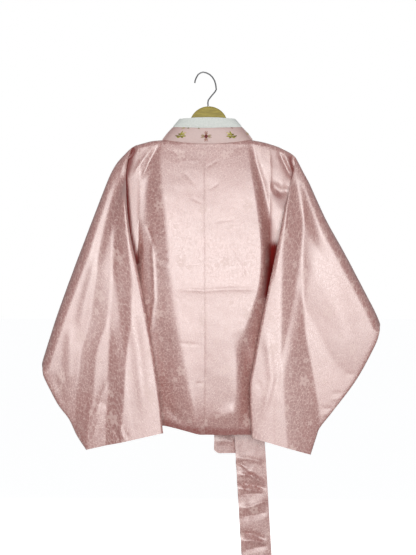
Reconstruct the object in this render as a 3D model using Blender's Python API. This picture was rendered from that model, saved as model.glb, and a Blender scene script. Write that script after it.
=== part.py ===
"""A pink silk hanbok jacket, seen from the back, hanging on a wooden clothes hanger.

Millimetres in the tables and functions, metres in the meshes. +Z is up, +X is the
wearer's left, the jacket's back faces +Y. The origin is under the crown of the hook.
"""
import math

import bpy
import numpy as np

MM = 0.001

# Driving dimensions, in millimetres
CLOTH = 1.6
SEAM_GAP = 0.3
CENTRE_BACK = -2.9
NECK_CENTRE = -9.5
NECK_HALF_WIDTH = 99.0
NECK_DROP = 10.3
NECK_POINT_Z = -147.5
ARMHOLE_HALF = 144.0
UNDERARM_Z = -395.0
FLARE_START = 14.0
UNDERARM_EASE = 1.2
HEM_HALF = 200.0
HEM_Z = -795.0
FRONT_HEM_Z = -786.0
SHOULDER_ROLL = 11.0
UNDER_SEAM_ROLL = 4.0
SIDE_SEAM_Y = 1.9
COLLAR_TOP_HALF = 60.0
COLLAR_TOP_Z = -102.0
COLLAR_STAND_Y = 16.0
STRIP_SHARE = 0.36
STRIP_SEAM = 0.004
STRIP_ENDS = 3
OVERLAP_STEP = 6.0
OVERLAP_EASE = 34.0
FRONT_RUN = (-151.5, -250.0)
FRONT_RUN_TOP = (-160.0, -266.0)
VIEW_DISTANCE = 3000.0
VIEW_CENTRE = (-10.6, -450.2)
WIRE_RADIUS = 1.55
RING = 12

# Top line of the shoulders: x, z
SHOULDER_LINE = (
    (-206, -187), (-191, -176), (-165, -163), (-138, -154), (-108, -148),
    (89, -148), (113, -150), (139, -157), (152, -161), (165, -174),
)

# Hem of the back: x, z
HEM_LINE = ((-205, -799), (-103, -795), (7, -795), (33, -788), (60, -781), (88, -775), (198, -781))

# How far the middle of the back stands out: z, y
BACK_DEPTH = (
    (-148, 9.3), (-170, 12), (-220, 20), (-300, 28), (-400, 32), (-500, 33), (-650, 32),
    (-740, 30), (-775, 26), (-795, 20),
)

# Depth of the shell at the armhole: z, y
ARMHOLE_DEPTH_LEFT = ((-158, 9.3), (-200, 12), (-320, 14), (-370, 9), (-391, 4), (-395, 2.6))
ARMHOLE_DEPTH_RIGHT = ((-158, 9.3), (-200, 12), (-250, 13), (-330, 8), (-391, 4), (-395, 2.6))

# Left half of the back: z, then distance from the centre seam and depth of the long
# ridge, of the valley beside it and of the low ridge along the armhole
LEFT_FOLDS = (
    (-148, 80, 9.3, 100, 9.0, 125, 9.3),
    (-165, 96, 12, 108, 9.5, 134, 10.5),
    (-200, 95, 19, 119, 10, 140, 13),
    (-260, 92, 26, 127, 9, 143, 14),
    (-320, 85, 31, 129, 9, 144, 14),
    (-400, 78, 34, 119, 12, 142, 15),
    (-480, 69, 35, 113, 14, 138, 16),
    (-570, 57, 35, 114, 12, 140, 15),
    (-650, 42, 34, 112, 13, 140, 13),
    (-730, 20, 31, 110, 14, 140, 12),
    (-795, 10, 21, 105, 12, 140, 9),
)

# Right half of the back: the same columns, with the ridge where the fall begins
RIGHT_FOLDS = (
    (-148, 84, 9.3, 101, 9.0, 112, 9.3),
    (-165, 88, 13, 105, 9.5, 114, 11),
    (-200, 90, 19, 110, 9, 119, 13),
    (-245, 92, 25, 116, 8, 128, 14),
    (-290, 96, 29, 124, 7.5, 138, 12),
    (-360, 102, 32, 134, 6, 143, 7),
    (-430, 104, 33, 137, 6, 147, 6),
    (-520, 98, 34, 131, 9, 150, 8),
    (-600, 86, 34, 127, 11, 152, 9),
    (-700, 82, 32, 124, 12, 155, 9),
    (-795, 78, 21, 122, 9, 160, 6),
)

# How far the middle of the front stands out: z, y
FRONT_DEPTH = (
    (-148, 9.3), (-170, 12), (-220, 17), (-300, 21), (-420, 24), (-600, 24), (-740, 22), (-790, 19),
)

# Each sleeve turns back on itself along an oblique fold, so that its outer part hangs in
# front of the back as a flap. Outlines as seen from the back, at the hanger's plane: x, z
LEFT_SLEEVE = {
    "fold": ((159, -168), (179, -185), (192, -198), (218, -260), (258, -363), (297, -467),
             (324, -544), (349, -625), (354, -647)),
    "inner": ((159, -168), (167, -190), (173, -213), (174, -240), (170, -270), (165, -319),
              (157, -372), (139, -458), (117, -576), (98, -696), (88, -792)),
    "outer": ((354, -647), (353, -660), (348, -676), (322, -729), (297, -764), (280, -799),
              (258, -830)),
    "under": ((145, -408), (152, -432), (188, -482), (250, -552), (305, -608)),
    "bend": (12.0, 17.0),
}
RIGHT_SLEEVE = {
    "fold": ((-206, -187), (-231, -240), (-270, -324), (-310, -396), (-349, -471), (-376, -524),
             (-389, -557)),
    "inner": ((-206, -187), (-198, -215), (-191, -256), (-178, -305), (-165, -372), (-146, -462),
              (-122, -579), (-110, -645), (-103, -683), (-103, -733), (-107, -803)),
    "outer": ((-389, -557), (-387, -575), (-376, -605), (-338, -676), (-286, -746), (-258, -782),
              (-251, -799), (-237, -841)),
    "under": ((-151, -408), (-158, -432), (-192, -466), (-262, -505), (-330, -534)),
    "bend": (8.5, 17.0),
}

# Depth of the flap along its inner and outer edges: z, y at the inner edge, y at the outer edge
FLAP_DEPTH = (
    (-168, 20, 24), (-250, 21, 26), (-330, 24, 30), (-420, 27, 32), (-520, 29, 34),
    (-620, 31, 34), (-720, 33, 34), (-830, 34, 34),
)

# Long troughs pressed in the flaps: side, x and z at the top, x and z at the bottom, depth, half width
FLAP_TROUGHS = (
    ("right", -196, -250, -243, -815, 9.0, 17.0),
    ("right", -290, -420, -262, -700, 4.0, 15.0),
    ("left", 262, -560, 292, -740, 5.0, 16.0),
    ("left", 196, -470, 214, -800, 6.0, 14.0),
)

# Ribbons: x at the knot, x at the end, z of the end, y, width
RIBBON_WIDTH = 67.0
RIBBON_CLOTH = 1.8
LONG_RIBBON = (-80.0, -118.0, -1096.0, -37.5)
SHORT_RIBBON = (-66.0, -57.5, -838.0, -43.0)
KNOT_PLACE = (-74.0, -39.6, -425.0)
KNOT_SIZE = (50.0, 20.0, 46.0)
KNOT_ROUNDING = 8.0
LOOP_LENGTH = 112.0
LOOP_RADIUS = 4.5

# Hanger arm: distance from its centre, z of the top edge, height, half thickness
HANGER_ARM = (
    (166, -172.5, 9, 2.6), (160, -170, 13, 3.6), (151, -165, 16, 5.0), (126, -154.6, 20, 6.0),
    (97, -151.2, 25, 6.0), (68, -149, 30, 6.0), (48, -141, 42, 6.0),
)
HANGER_TILT = 2.3 / 150.0
HEAD_CENTRE = (-12.1, -116.3)
HEAD_RADIUS = 42.2

# Centre line of the wire hook from its tip to the hanger: x, z
HOOK_LINE = (
    (18.5, -22.3), (17.8, -17.3), (15.2, -10.5), (11.0, -3.6), (5.9, -0.1), (0.0, 1.55),
    (-7.5, -0.1), (-14.3, -3.6), (-20.9, -10.0), (-25.3, -17.9), (-27.7, -26.5), (-28.8, -36.6),
    (-26.0, -41.7), (-17.6, -51.6), (-11.2, -60.2), (-10.3, -65.9), (-10.8, -73.4),
)


def clear_scene():
    for old in list(bpy.data.objects):
        bpy.data.objects.remove(old)


def material(name, colour, roughness, metallic=0.0):
    made = bpy.data.materials.new(name)
    made.use_nodes = True
    surface = made.node_tree.nodes["Principled BSDF"]
    surface.inputs["Base Color"].default_value = (*colour, 1.0)
    surface.inputs["Roughness"].default_value = roughness
    surface.inputs["Metallic"].default_value = metallic
    made.diffuse_color = (*colour, 1.0)
    return made


def column(table, z, index):
    """The table's column at height z, with the rows listed downwards."""
    heights = [-row[0] for row in table]
    return float(np.interp(-z, heights, [row[index] for row in table]))


def along_x(table, x):
    rows = sorted(table)
    return float(np.interp(x, [row[0] for row in rows], [row[1] for row in rows]))


def eased(share):
    share = min(max(share, 0.0), 1.0)
    return share * share * (3.0 - 2.0 * share)


def rolled(share):
    """A quarter circle's rise from 0 to 1, used wherever cloth turns over an edge."""
    share = min(max(share, 0.0), 1.0)
    return math.sqrt(1.0 - (1.0 - share) ** 2)


def soft_profile(keys, position):
    """A smooth curve through (position, value) keys that doesn't overshoot them."""
    for (start, low), (end, high) in zip(keys, keys[1:]):
        if position <= end:
            return low + (high - low) * eased((position - start) / (end - start))
    return keys[-1][1]


def spline(points, shares):
    """Points at shares of the length of a smooth curve through the given points."""
    knots = np.array(points, float)
    knots = np.vstack([2 * knots[0] - knots[1], knots, 2 * knots[-1] - knots[-2]])
    dense = []
    for a, b, c, d in zip(knots, knots[1:], knots[2:], knots[3:]):
        for t in np.linspace(0, 1, 24, endpoint=False):
            dense.append(
                0.5 * (2 * b + (c - a) * t + (2 * a - 5 * b + 4 * c - d) * t**2
                       + (3 * b - a - 3 * c + d) * t**3)
            )
    dense.append(knots[-2])
    dense = np.array(dense)
    steps = np.r_[0, np.cumsum(np.linalg.norm(np.diff(dense, axis=0), axis=1))]
    wanted = np.asarray(shares) * steps[-1]
    return np.column_stack([np.interp(wanted, steps, axis) for axis in dense.T])


def shoulder_z(x):
    return along_x(SHOULDER_LINE, x)


def side_edge(z):
    """Distance of the armhole, and below it of the side seam, from the centre seam."""
    below = max(UNDERARM_Z - FLARE_START - z, 0.0) / (UNDERARM_Z - FLARE_START - HEM_Z)
    return ARMHOLE_HALF + (HEM_HALF - ARMHOLE_HALF) * below**0.9


def edge_depth(z, left):
    if z < UNDERARM_Z - 3:
        return SIDE_SEAM_Y
    return column(ARMHOLE_DEPTH_LEFT if left else ARMHOLE_DEPTH_RIGHT, z, 1)


def back_depth(x, z):
    """Where the outer face of the back lies."""
    left = x > CENTRE_BACK
    away = abs(x - CENTRE_BACK)
    folds = LEFT_FOLDS if left else RIGHT_FOLDS
    row = [column(folds, z, index) for index in range(1, 7)]
    edge = side_edge(z)
    keys = [(0.0, column(BACK_DEPTH, z, 1)), (row[0], row[1]), (row[2], row[3])]
    if row[4] < edge - 3:
        keys.append((row[4], row[5]))
    keys.append((edge, edge_depth(z, left)))
    return soft_profile(keys, away) * rolled((shoulder_z(x) - z) / SHOULDER_ROLL)


def front_depth(x, z, outer):
    """Where the outer face of a front lies; the outer front clears the inner one."""
    left = x > CENTRE_BACK
    away = abs(x - CENTRE_BACK)
    middle = column(FRONT_DEPTH, z, 1)
    edge = side_edge(z)
    keys = [(0.0, middle), (70.0, middle * 0.97), (edge, edge_depth(z, left))]
    depth = soft_profile(keys, away)
    if outer:
        depth += OVERLAP_STEP * eased((CENTRE_BACK + ARMHOLE_HALF - x) / OVERLAP_EASE)
    return -depth * rolled((shoulder_z(x) - z) / SHOULDER_ROLL)


def neck_z(x):
    """The seam of the collar across the back of the neck."""
    share = min(abs(x - NECK_CENTRE) / NECK_HALF_WIDTH, 1.0)
    return NECK_POINT_Z - NECK_DROP * (1 - share**2)


def mirrored(x):
    return 2 * NECK_CENTRE - x


def front_neck_z(x, outer):
    """The collar's seam down a front, and the collar's square end below it."""
    if not outer:
        x = mirrored(x)
    neck_point = NECK_CENTRE + NECK_HALF_WIDTH
    low_x = neck_point + FRONT_RUN[0]
    low_z = NECK_POINT_Z + FRONT_RUN[1]
    if x >= low_x:
        return NECK_POINT_Z + (neck_point - x) * FRONT_RUN[1] / -FRONT_RUN[0]
    end_x = NECK_CENTRE + COLLAR_TOP_HALF + FRONT_RUN_TOP[0]
    end_z = COLLAR_TOP_Z + FRONT_RUN_TOP[1]
    return low_z + (end_z - low_z) * (low_x - x) / (low_x - end_x)


def mesh_object(name, points, faces, made_of):
    mesh = bpy.data.meshes.new(name)
    mesh.from_pydata([tuple(np.asarray(point, float) * MM) for point in points], [], faces)
    mesh.materials.append(made_of)
    mesh.shade_smooth()
    made = bpy.data.objects.new(name, mesh)
    bpy.context.collection.objects.link(made)
    return made


def wall(name, grid, made_of, around=False, flip=False, thickness=CLOTH, even=True):
    """A cloth wall whose outer face is the grid; the thickness goes inwards."""
    rows, columns = len(grid), len(grid[0])
    faces = []
    for i in range(rows - 1):
        for j in range(columns if around else columns - 1):
            after = (j + 1) % columns
            face = (i * columns + j, i * columns + after,
                    (i + 1) * columns + after, (i + 1) * columns + j)
            faces.append(face[::-1] if flip else face)
    made = mesh_object(name, [point for row in grid for point in row], faces, made_of)
    thick = made.modifiers.new("Cloth thickness", "SOLIDIFY")
    thick.thickness = thickness * MM
    thick.offset = -1.0
    thick.use_even_offset = even
    return made


def panel(name, columns_at, depth, top, bottom, made_of, facing_back, rows_below=17):
    """A panel of columns at these distances from the centre seam, kept inside its side edge."""
    first_rows = [share * SHOULDER_ROLL for share in (0.0, 0.01, 0.16, 0.5, 1.0)]
    grid = []
    for share_down in range(len(first_rows) + rows_below):
        row = []
        for x in columns_at:
            start, end = top(x), bottom(x)
            if share_down < len(first_rows):
                z = start - first_rows[share_down]
            else:
                steps = (share_down - len(first_rows) + 1) / rows_below
                z = start - SHOULDER_ROLL + (end - start + SHOULDER_ROLL) * steps
            away = x - CENTRE_BACK
            spread = (side_edge(z) - SEAM_GAP / 2) / (ARMHOLE_HALF - SEAM_GAP / 2)
            share = max(abs(away) / ARMHOLE_HALF - 0.25, 0) / 0.75
            placed = CENTRE_BACK + away * (1 + (spread - 1) * share)
            y = depth(placed, z)
            y = max(y, SEAM_GAP) if facing_back else min(y, -SEAM_GAP)
            row.append((placed, y, z))
        grid.append(row)
    rising = columns_at[-1] > columns_at[0]
    return wall(name, grid, made_of, flip=rising != facing_back)


def build_back(silk):
    """Two panels that meet at the centre seam and pass up over the hanger's arms."""
    neck = [NECK_HALF_WIDTH * math.sin(math.radians(a)) for a in (8, 24, 40, 54, 66, 78, 90)]
    for side, name in ((1, "back_left"), (-1, "back_right")):
        half = SEAM_GAP / 2
        places = [CENTRE_BACK + side * half]
        places += [NECK_CENTRE + side * d for d in neck if side * (NECK_CENTRE - CENTRE_BACK) + d > 9]
        edge = CENTRE_BACK + side * (ARMHOLE_HALF - half)
        last = places[-1]
        places += [last + (edge - last) * share for share in (0.27, 0.52, 0.77, 1.0)]

        def top(x):
            inside = abs(x - NECK_CENTRE) < NECK_HALF_WIDTH
            return neck_z(x) - SEAM_GAP * 1.5 if inside else shoulder_z(x)

        def bottom(x):
            spread = HEM_HALF / ARMHOLE_HALF
            share = max(abs(x - CENTRE_BACK) / ARMHOLE_HALF - 0.25, 0) / 0.75
            return along_x(HEM_LINE, CENTRE_BACK + (x - CENTRE_BACK) * (1 + (spread - 1) * share))

        panel(name, places, back_depth, top, bottom, silk, True)


def build_fronts(silk):
    """The right front lies inside, the left front laps over it, each with its gusset."""
    neck_point = NECK_CENTRE + NECK_HALF_WIDTH
    half = SEAM_GAP / 2
    steps = (0, 0.9, 3, 6.7, 14, 26, 42, 60, 76)
    for outer in (True, False):
        side = 1 if outer else -1
        edge = CENTRE_BACK + side * (ARMHOLE_HALF - half)
        near = neck_point if outer else mirrored(neck_point)
        places = [edge + (near - edge) * share for share in (0, 0.3, 0.62)]
        places += [near - side * step for step in steps]
        centre = CENTRE_BACK + side * half
        places.append(centre)

        def top(x, outer=outer, near=near, side=side):
            if side * (x - near) > 0:
                return shoulder_z(x)
            return front_neck_z(x, outer) - SEAM_GAP * 3

        def depth(x, z, outer=outer):
            return front_depth(x, z, outer)

        def bottom(x):
            return FRONT_HEM_Z

        panel("front_left" if outer else "front_right", places, depth, top, bottom, silk, False, 13)

        low = neck_point + FRONT_RUN[0]
        end = NECK_CENTRE + COLLAR_TOP_HALF + FRONT_RUN_TOP[0]
        turned = [low, end] if outer else [mirrored(low), mirrored(end)]
        first = CENTRE_BACK - side * half
        places = [first, (first + turned[0]) / 2, turned[0], (turned[0] + turned[1]) / 2, turned[1]]
        panel("gusset_outer" if outer else "gusset_inner", places, depth, top, bottom, silk, False, 9)


def collar_rows():
    """Stations from the inner end over the back of the neck to the outer end: seam point, top point."""
    rows = []
    shares = (0, 0.006, 0.02, 0.044, 0.092, 0.17, 0.28, 0.4, 0.52, 0.64, 0.76, 0.88, 1.0)
    angles = (-78, -66, -54, -40, -24, -8, 8, 24, 40, 54, 66, 78)
    neck_point = NECK_CENTRE + NECK_HALF_WIDTH
    top_point = NECK_CENTRE + COLLAR_TOP_HALF
    for outer in (False, True):
        run = []
        for share in shares:
            x = neck_point + FRONT_RUN[0] * share
            z = NECK_POINT_Z + FRONT_RUN[1] * share
            top_x = top_point + FRONT_RUN_TOP[0] * share
            top_z = COLLAR_TOP_Z + FRONT_RUN_TOP[1] * share
            if not outer:
                x, top_x = mirrored(x), mirrored(top_x)
            y = front_depth(x, z, outer)
            top_y = front_depth(top_x, min(top_z, -168.0), outer) * rolled(share / 0.12)
            run.append(((x, y, z), (top_x, top_y, top_z)))
        if outer:
            rows += run
        else:
            rows += run[::-1]
            for angle in angles:
                turn = math.radians(angle)
                x = NECK_CENTRE + NECK_HALF_WIDTH * math.sin(turn)
                top_x = NECK_CENTRE + COLLAR_TOP_HALF * math.sin(turn)
                top_z = COLLAR_TOP_Z + 2.5 * math.cos(turn) ** 2
                seam = (x, back_depth(x, neck_z(x)), neck_z(x))
                rows.append((seam, (top_x, COLLAR_STAND_Y * math.cos(turn), top_z)))
    return rows


def build_collar(silk, white):
    """The band is ruled between the neck seam and the top edge; the strip is its upper share."""
    rows = [(np.array(seam), np.array(top)) for seam, top in collar_rows()]
    split = 1 - STRIP_SHARE
    band = [[seam + (top - seam) * share for share in np.linspace(0, split - STRIP_SEAM, 4)]
            for seam, top in rows]
    wall("collar_band", band, silk)
    strip = [[seam + (top - seam) * share for share in (split + STRIP_SEAM, 0.82, 1.0)]
             for seam, top in rows[STRIP_ENDS:-STRIP_ENDS]]
    wall("collar_strip", strip, white)


def patch(start, end, first, last, across, along):
    """Coons patch: start and end curves run across, first and last curves run along."""
    corners = start[0], start[-1], end[0], end[-1]
    grid = []
    for j, k in enumerate(across):
        line = []
        for i, s in enumerate(along):
            ruled = (1 - s) * start[j] + s * end[j] + (1 - k) * first[i] + k * last[i]
            bilinear = ((1 - k) * (1 - s) * corners[0] + k * (1 - s) * corners[1]
                        + (1 - k) * s * corners[2] + k * s * corners[3])
            line.append(ruled - bilinear)
        grid.append(np.array(line))
    return grid


def distance_to(curve, points):
    gaps = []
    for point in points:
        starts, ends = curve[:-1], curve[1:]
        run = ends - starts
        share = np.clip(np.sum((point - starts) * run, axis=1) / np.sum(run * run, axis=1), 0, 1)
        gaps.append(np.min(np.linalg.norm(starts + run * share[:, None] - point, axis=1)))
    return np.array(gaps)


def true_place(x, z, y):
    """From where a point shows at the hanger's plane to where it is, nearer the viewer by y."""
    nearer = 1 - y / VIEW_DISTANCE
    return (VIEW_CENTRE[0] + (x - VIEW_CENTRE[0]) * nearer,
            VIEW_CENTRE[1] + (z - VIEW_CENTRE[1]) * nearer)


def trough(side, x, z):
    depth = 0.0
    for where, top_x, top_z, low_x, low_z, deep, wide in FLAP_TROUGHS:
        if where == side:
            share = (z - top_z) / (low_z - top_z)
            middle = top_x + (low_x - top_x) * share
            fade = eased(share / 0.25 + 0.2) * eased((1.25 - share) / 0.3)
            depth += deep * fade * math.exp(-(((x - middle) / wide) ** 2))
    return depth


def sleeve_surface(side, interior=8, root_rows=5, flap_rows=17):
    """The sleeve's middle surface and half thickness, row by row from armhole to cuff."""
    shape = LEFT_SLEEVE if side == "left" else RIGHT_SLEEVE
    outward = 1 if side == "left" else -1
    depth_at_armhole = ARMHOLE_DEPTH_LEFT if side == "left" else ARMHOLE_DEPTH_RIGHT
    armhole_x = CENTRE_BACK + outward * (ARMHOLE_HALF + SEAM_GAP / 2)
    armhole_top = shoulder_z(armhole_x)
    drop = armhole_top - UNDERARM_Z
    top_roll = SHOULDER_ROLL / drop
    low_roll = UNDER_SEAM_ROLL / drop
    across = [0, 0.16 * top_roll, 0.5 * top_roll]
    across += list(np.linspace(top_roll, 1 - low_roll, interior))
    across += [1 - 0.5 * low_roll, 1 - 0.134 * low_roll, 1]
    across = np.array(across)

    dense = np.linspace(0, 1, 61)
    fold_seen = spline(shape["fold"], across)
    slope = np.gradient(fold_seen, axis=0)
    inward = np.column_stack([slope[:, 1], -slope[:, 0]]) * outward
    inward /= np.linalg.norm(inward, axis=1)[:, None]
    bulge = np.sin(np.pi * across) ** 0.5
    fold = fold_seen + inward * (4.5 * bulge)[:, None]
    shoulder = [(armhole_x, armhole_top)]
    shoulder += [p for p in sorted(SHOULDER_LINE, key=lambda p: outward * p[0])
                 if outward * armhole_x + 3 < outward * p[0] < outward * fold[0][0] - 3]
    shoulder.append(tuple(fold[0]))
    armhole = np.array([
        (armhole_x + outward * UNDERARM_EASE * eased((k - 0.9) / 0.1), armhole_top - k * drop)
        for k in across
    ])
    under = [tuple(armhole[-1])] + list(shape["under"]) + [tuple(fold[-1])]
    root = patch(armhole, fold, spline(shoulder, dense), spline(under, dense), across, dense)
    inner = spline(shape["inner"], dense)
    outer = spline(list(shape["outer"]), dense)
    cuff = np.array([inner[-1] + (outer[-1] - inner[-1]) * k for k in across])
    flap = patch(fold, cuff, inner, outer, across, dense)

    turn = (math.radians(90), math.radians(60), math.radians(30))
    lines = []
    for j, k in enumerate(across):
        bend = shape["bend"][0] + (shape["bend"][1] - shape["bend"][0]) * eased(k / 0.4)
        near = [bend * (1 - math.cos(angle)) for angle in turn]
        root_gap = distance_to(fold, root[j])[::-1]
        flap_gap = distance_to(fold, flap[j])
        root_gap = np.maximum.accumulate(root_gap)
        flap_gap = np.maximum.accumulate(flap_gap)
        start = np.interp(bend, root_gap, dense)
        shares = [1 - np.interp(g, root_gap, dense) for g in near]
        line = []
        for share in np.linspace(0, 1 - start, root_rows, endpoint=False):
            line.append((root[j], share, -1))
        line += [(root[j], share, -1) for share in shares]
        line.append((root[j], 1.0, 0))
        line += [(flap[j], np.interp(g, flap_gap, dense), 1) for g in near[::-1]]
        reached = np.interp(bend, flap_gap, dense)
        for share in np.linspace(reached, 1, flap_rows + 1)[1:]:
            line.append((flap[j], share, 1))

        placed = []
        for path, share, where in line:
            x = float(np.interp(share, dense, path[:, 0]))
            z = float(np.interp(share, dense, path[:, 1]))
            gap = float(distance_to(fold, np.array([[x, z]]))[0])
            rise = bend * rolled(gap / bend)
            puff = 2.6 + 4.6 * (4 * k * (1 - k)) ** 0.7
            if where <= 0:
                y = bend - rise
                armhole_half = column(depth_at_armhole, armhole_top - k * drop, 1)
                reach = eased(share ** 1.4)
                half = armhole_half + (0.55 * puff + 1.2 - armhole_half) * reach
                roll = top_roll
            else:
                target = (column(FLAP_DEPTH, z, 1) * (1 - k) + column(FLAP_DEPTH, z, 2) * k)
                y = bend + rise + (max(target, 2 * bend) - 2 * bend) * eased(gap / 90.0)
                y -= trough(side, x, z) * eased((gap - bend) / 30.0)
                half = (0.55 * puff + 1.2) + 0.45 * puff * eased((gap - bend) / 60.0)
                roll = top_roll * (1 - 0.6 * eased(gap / 60.0))
            half *= rolled(k / roll) * rolled((1 - k) / low_roll)
            shown = y + half if where > 0 else y
            true_x, true_z = true_place(x, z, shown) if where >= 0 else (x, z)
            if where < 0:
                moved = eased(1 - gap / 60.0)
                far_x, far_z = true_place(x, z, y)
                true_x, true_z = x + (far_x - x) * moved, z + (far_z - z) * moved
            placed.append((true_x, y, true_z, half))
        lines.append(placed)
    return soft_corner(np.array(lines).transpose(1, 0, 2), across, root_rows)


def soft_corner(surface, across, first_row):
    """Rounds the tight corner where the top fold turns back over the shoulder."""
    rows = range(first_row - 1, first_row + 10)
    for _ in range(6):
        before = surface.copy()
        for j, k in enumerate(across):
            strength = 0.5 * eased((0.16 - k) / 0.16)
            for i in rows:
                between = (before[i - 1, j] + before[i + 1, j]) / 2
                surface[i, j] += (between - before[i, j]) * strength
    return surface


def smoothed(field, times):
    for _ in range(times):
        wide = np.pad(field, ((1, 1), (1, 1), (0, 0)), mode="edge")
        field = (2 * wide[1:-1, 1:-1] + wide[:-2, 1:-1] + wide[2:, 1:-1]
                 + wide[1:-1, :-2] + wide[1:-1, 2:]) / 6
    return field


def build_sleeve(side, silk):
    """A flattened tube round the middle surface, closed along its top fold and its under seam."""
    surface = sleeve_surface(side)
    middle, half = surface[:, :, :3], surface[:, :, 3]
    along = np.gradient(middle, axis=0)
    over = np.gradient(middle, axis=1)
    normal = np.cross(along, over) * (1 if side == "left" else -1)
    normal /= np.maximum(np.linalg.norm(normal, axis=2), 1e-9)[:, :, None]
    normal[:, :3] = normal[:, 3:4]
    normal = smoothed(normal, 2)
    normal /= np.linalg.norm(normal, axis=2)[:, :, None]
    grid = []
    for i in range(len(middle)):
        back = [middle[i, j] + normal[i, j] * half[i, j] for j in range(middle.shape[1])]
        front = [middle[i, j] - normal[i, j] * half[i, j] for j in range(middle.shape[1] - 2, 0, -1)]
        grid.append(back + front)
    wall("sleeve_" + side, grid, silk, around=True, flip=side == "right", even=False)


def build_ribbon(name, ribbon, silk):
    """A tail hangs from the knot, a little wavy, and is wider below the gather."""
    x_top, x_end, z_end, y = ribbon
    z_top = KNOT_PLACE[2] - KNOT_SIZE[2] / 2 - SEAM_GAP
    grid = []
    for share in np.linspace(0, 1, 20):
        z = z_top + (z_end - z_top) * share
        middle = x_top + (x_end - x_top) * share
        half = RIBBON_WIDTH / 2 * (0.5 + 0.5 * eased(share / 0.14))
        row = []
        for across in np.linspace(-1, 1, 5):
            pleat = 2.0 * math.cos(across * math.pi) * (1 - eased(share / 0.2))
            sway = 1.6 * math.sin(share * 9.0 + across * 0.8)
            row.append((middle + half * across, y + pleat + sway, z))
        grid.append(row)
    wall(name, grid, silk, thickness=RIBBON_CLOTH)


def build_loop(silk):
    """The bow's one loop, a band bent back on itself towards the wearer's left."""
    x_knot, y_knot, z_knot = KNOT_PLACE
    start = x_knot + KNOT_SIZE[0] / 2 + SEAM_GAP
    straight = LOOP_LENGTH - LOOP_RADIUS
    path = []
    for share in np.linspace(0, 1, 7):
        path.append((start + straight * share, -LOOP_RADIUS - 2.5 * math.sin(math.pi * share)))
    for angle in range(-60, 61, 30):
        turn = math.radians(angle)
        path.append((start + straight + LOOP_RADIUS * math.cos(turn), LOOP_RADIUS * math.sin(turn)))
    for share in np.linspace(1, 0, 7):
        path.append((start + straight * share, LOOP_RADIUS + 1.5 * math.sin(math.pi * share)))
    grid = []
    for x, y in path:
        out = eased((x - start) / 45.0)
        half = 18.0 + 12.0 * out
        sag = -0.2 * (x - start)
        grid.append([(x, y_knot + y, z_knot + sag + half * across) for across in np.linspace(-1, 1, 5)])
    wall("ribbon_loop", grid, silk, thickness=RIBBON_CLOTH)


def build_knot(silk):
    """A soft block where the ribbons cross."""
    x, y, z = KNOT_PLACE
    bpy.ops.mesh.primitive_cube_add(size=1, location=(x * MM, y * MM, z * MM))
    knot = bpy.context.object
    knot.name = "ribbon_knot"
    knot.data.name = "ribbon_knot"
    knot.scale = [side * MM for side in KNOT_SIZE]
    bpy.ops.object.transform_apply(location=False, rotation=False, scale=True)
    edges = knot.modifiers.new("Soft edges", "BEVEL")
    edges.width = KNOT_ROUNDING * MM
    edges.segments = 3
    knot.data.materials.append(silk)
    knot.data.shade_smooth()


def build_hanger(wood):
    """A round head and two arms, lofted through oval sections from tip to tip."""
    centre_x, centre_z = HEAD_CENTRE
    stations = []
    for side in (-1, 1):
        for away, top, height, half in HANGER_ARM:
            stations.append((centre_x + side * away, top + side * away * HANGER_TILT, height, half))
    for angle in range(175, 4, -17):
        turn = math.radians(angle)
        x = centre_x + HEAD_RADIUS * math.cos(turn)
        rise = HEAD_RADIUS * math.sin(turn)
        stations.append((x, centre_z + rise, 2 * rise + 36 * (1 - math.sin(turn)), 6.0))
    stations.sort()
    rings = []
    for x, top, height, half in stations:
        middle = top - height / 2
        ring = []
        for step in range(RING):
            turn = 2 * math.pi * step / RING
            ring.append((x, half * math.cos(turn), middle + height / 2 * math.sin(turn)))
        rings.append(ring)
    points = [point for ring in rings for point in ring]
    faces = []
    for i in range(len(rings) - 1):
        for j in range(RING):
            after = (j + 1) % RING
            faces.append((i * RING + j, (i + 1) * RING + j,
                          (i + 1) * RING + after, i * RING + after))
    faces.append(tuple(range(RING)))
    faces.append(tuple(reversed(range(len(points) - RING, len(points)))))
    mesh_object("hanger_bar", points, [face[::-1] for face in faces], wood)


def build_hook(steel):
    """A bent wire: a curve through its centre line with a round section and closed ends."""
    line = bpy.data.curves.new("hanger_hook", "CURVE")
    line.dimensions = "3D"
    line.bevel_depth = WIRE_RADIUS * MM
    line.bevel_resolution = 2
    line.use_fill_caps = True
    line.resolution_u = 1
    route = line.splines.new("POLY")
    route.points.add(len(HOOK_LINE) - 1)
    for point, (x, z) in zip(route.points, HOOK_LINE):
        point.co = (x * MM, 0.0, z * MM, 1.0)
    line.materials.append(steel)
    made = bpy.data.objects.new("hanger_hook", line)
    bpy.context.collection.objects.link(made)


def main():
    clear_scene()
    silk = material("pink silk", (0.80, 0.62, 0.58), 0.42)
    white = material("white cotton", (0.78, 0.82, 0.78), 0.6)
    wood = material("pale wood", (0.42, 0.33, 0.12), 0.45)
    steel = material("steel wire", (0.45, 0.45, 0.45), 0.3, 1.0)
    build_back(silk)
    build_fronts(silk)
    build_sleeve("left", silk)
    build_sleeve("right", silk)
    build_collar(silk, white)
    build_knot(silk)
    build_loop(silk)
    build_ribbon("ribbon_long", LONG_RIBBON, silk)
    build_ribbon("ribbon_short", SHORT_RIBBON, silk)
    build_hanger(wood)
    build_hook(steel)


main()
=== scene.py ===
"""A pink silk hanbok jacket seen from its back, on a wooden clothes hanger.

Tables and functions are in millimetres, meshes in metres. +Z is up, +X is the wearer's
left, the jacket's back faces +Y. The cloth follows the same patterns as the solids, with
finer folds, seams, weave and embroidery.
"""

import math

import bpy
import numpy as np
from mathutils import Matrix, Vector, noise


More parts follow.
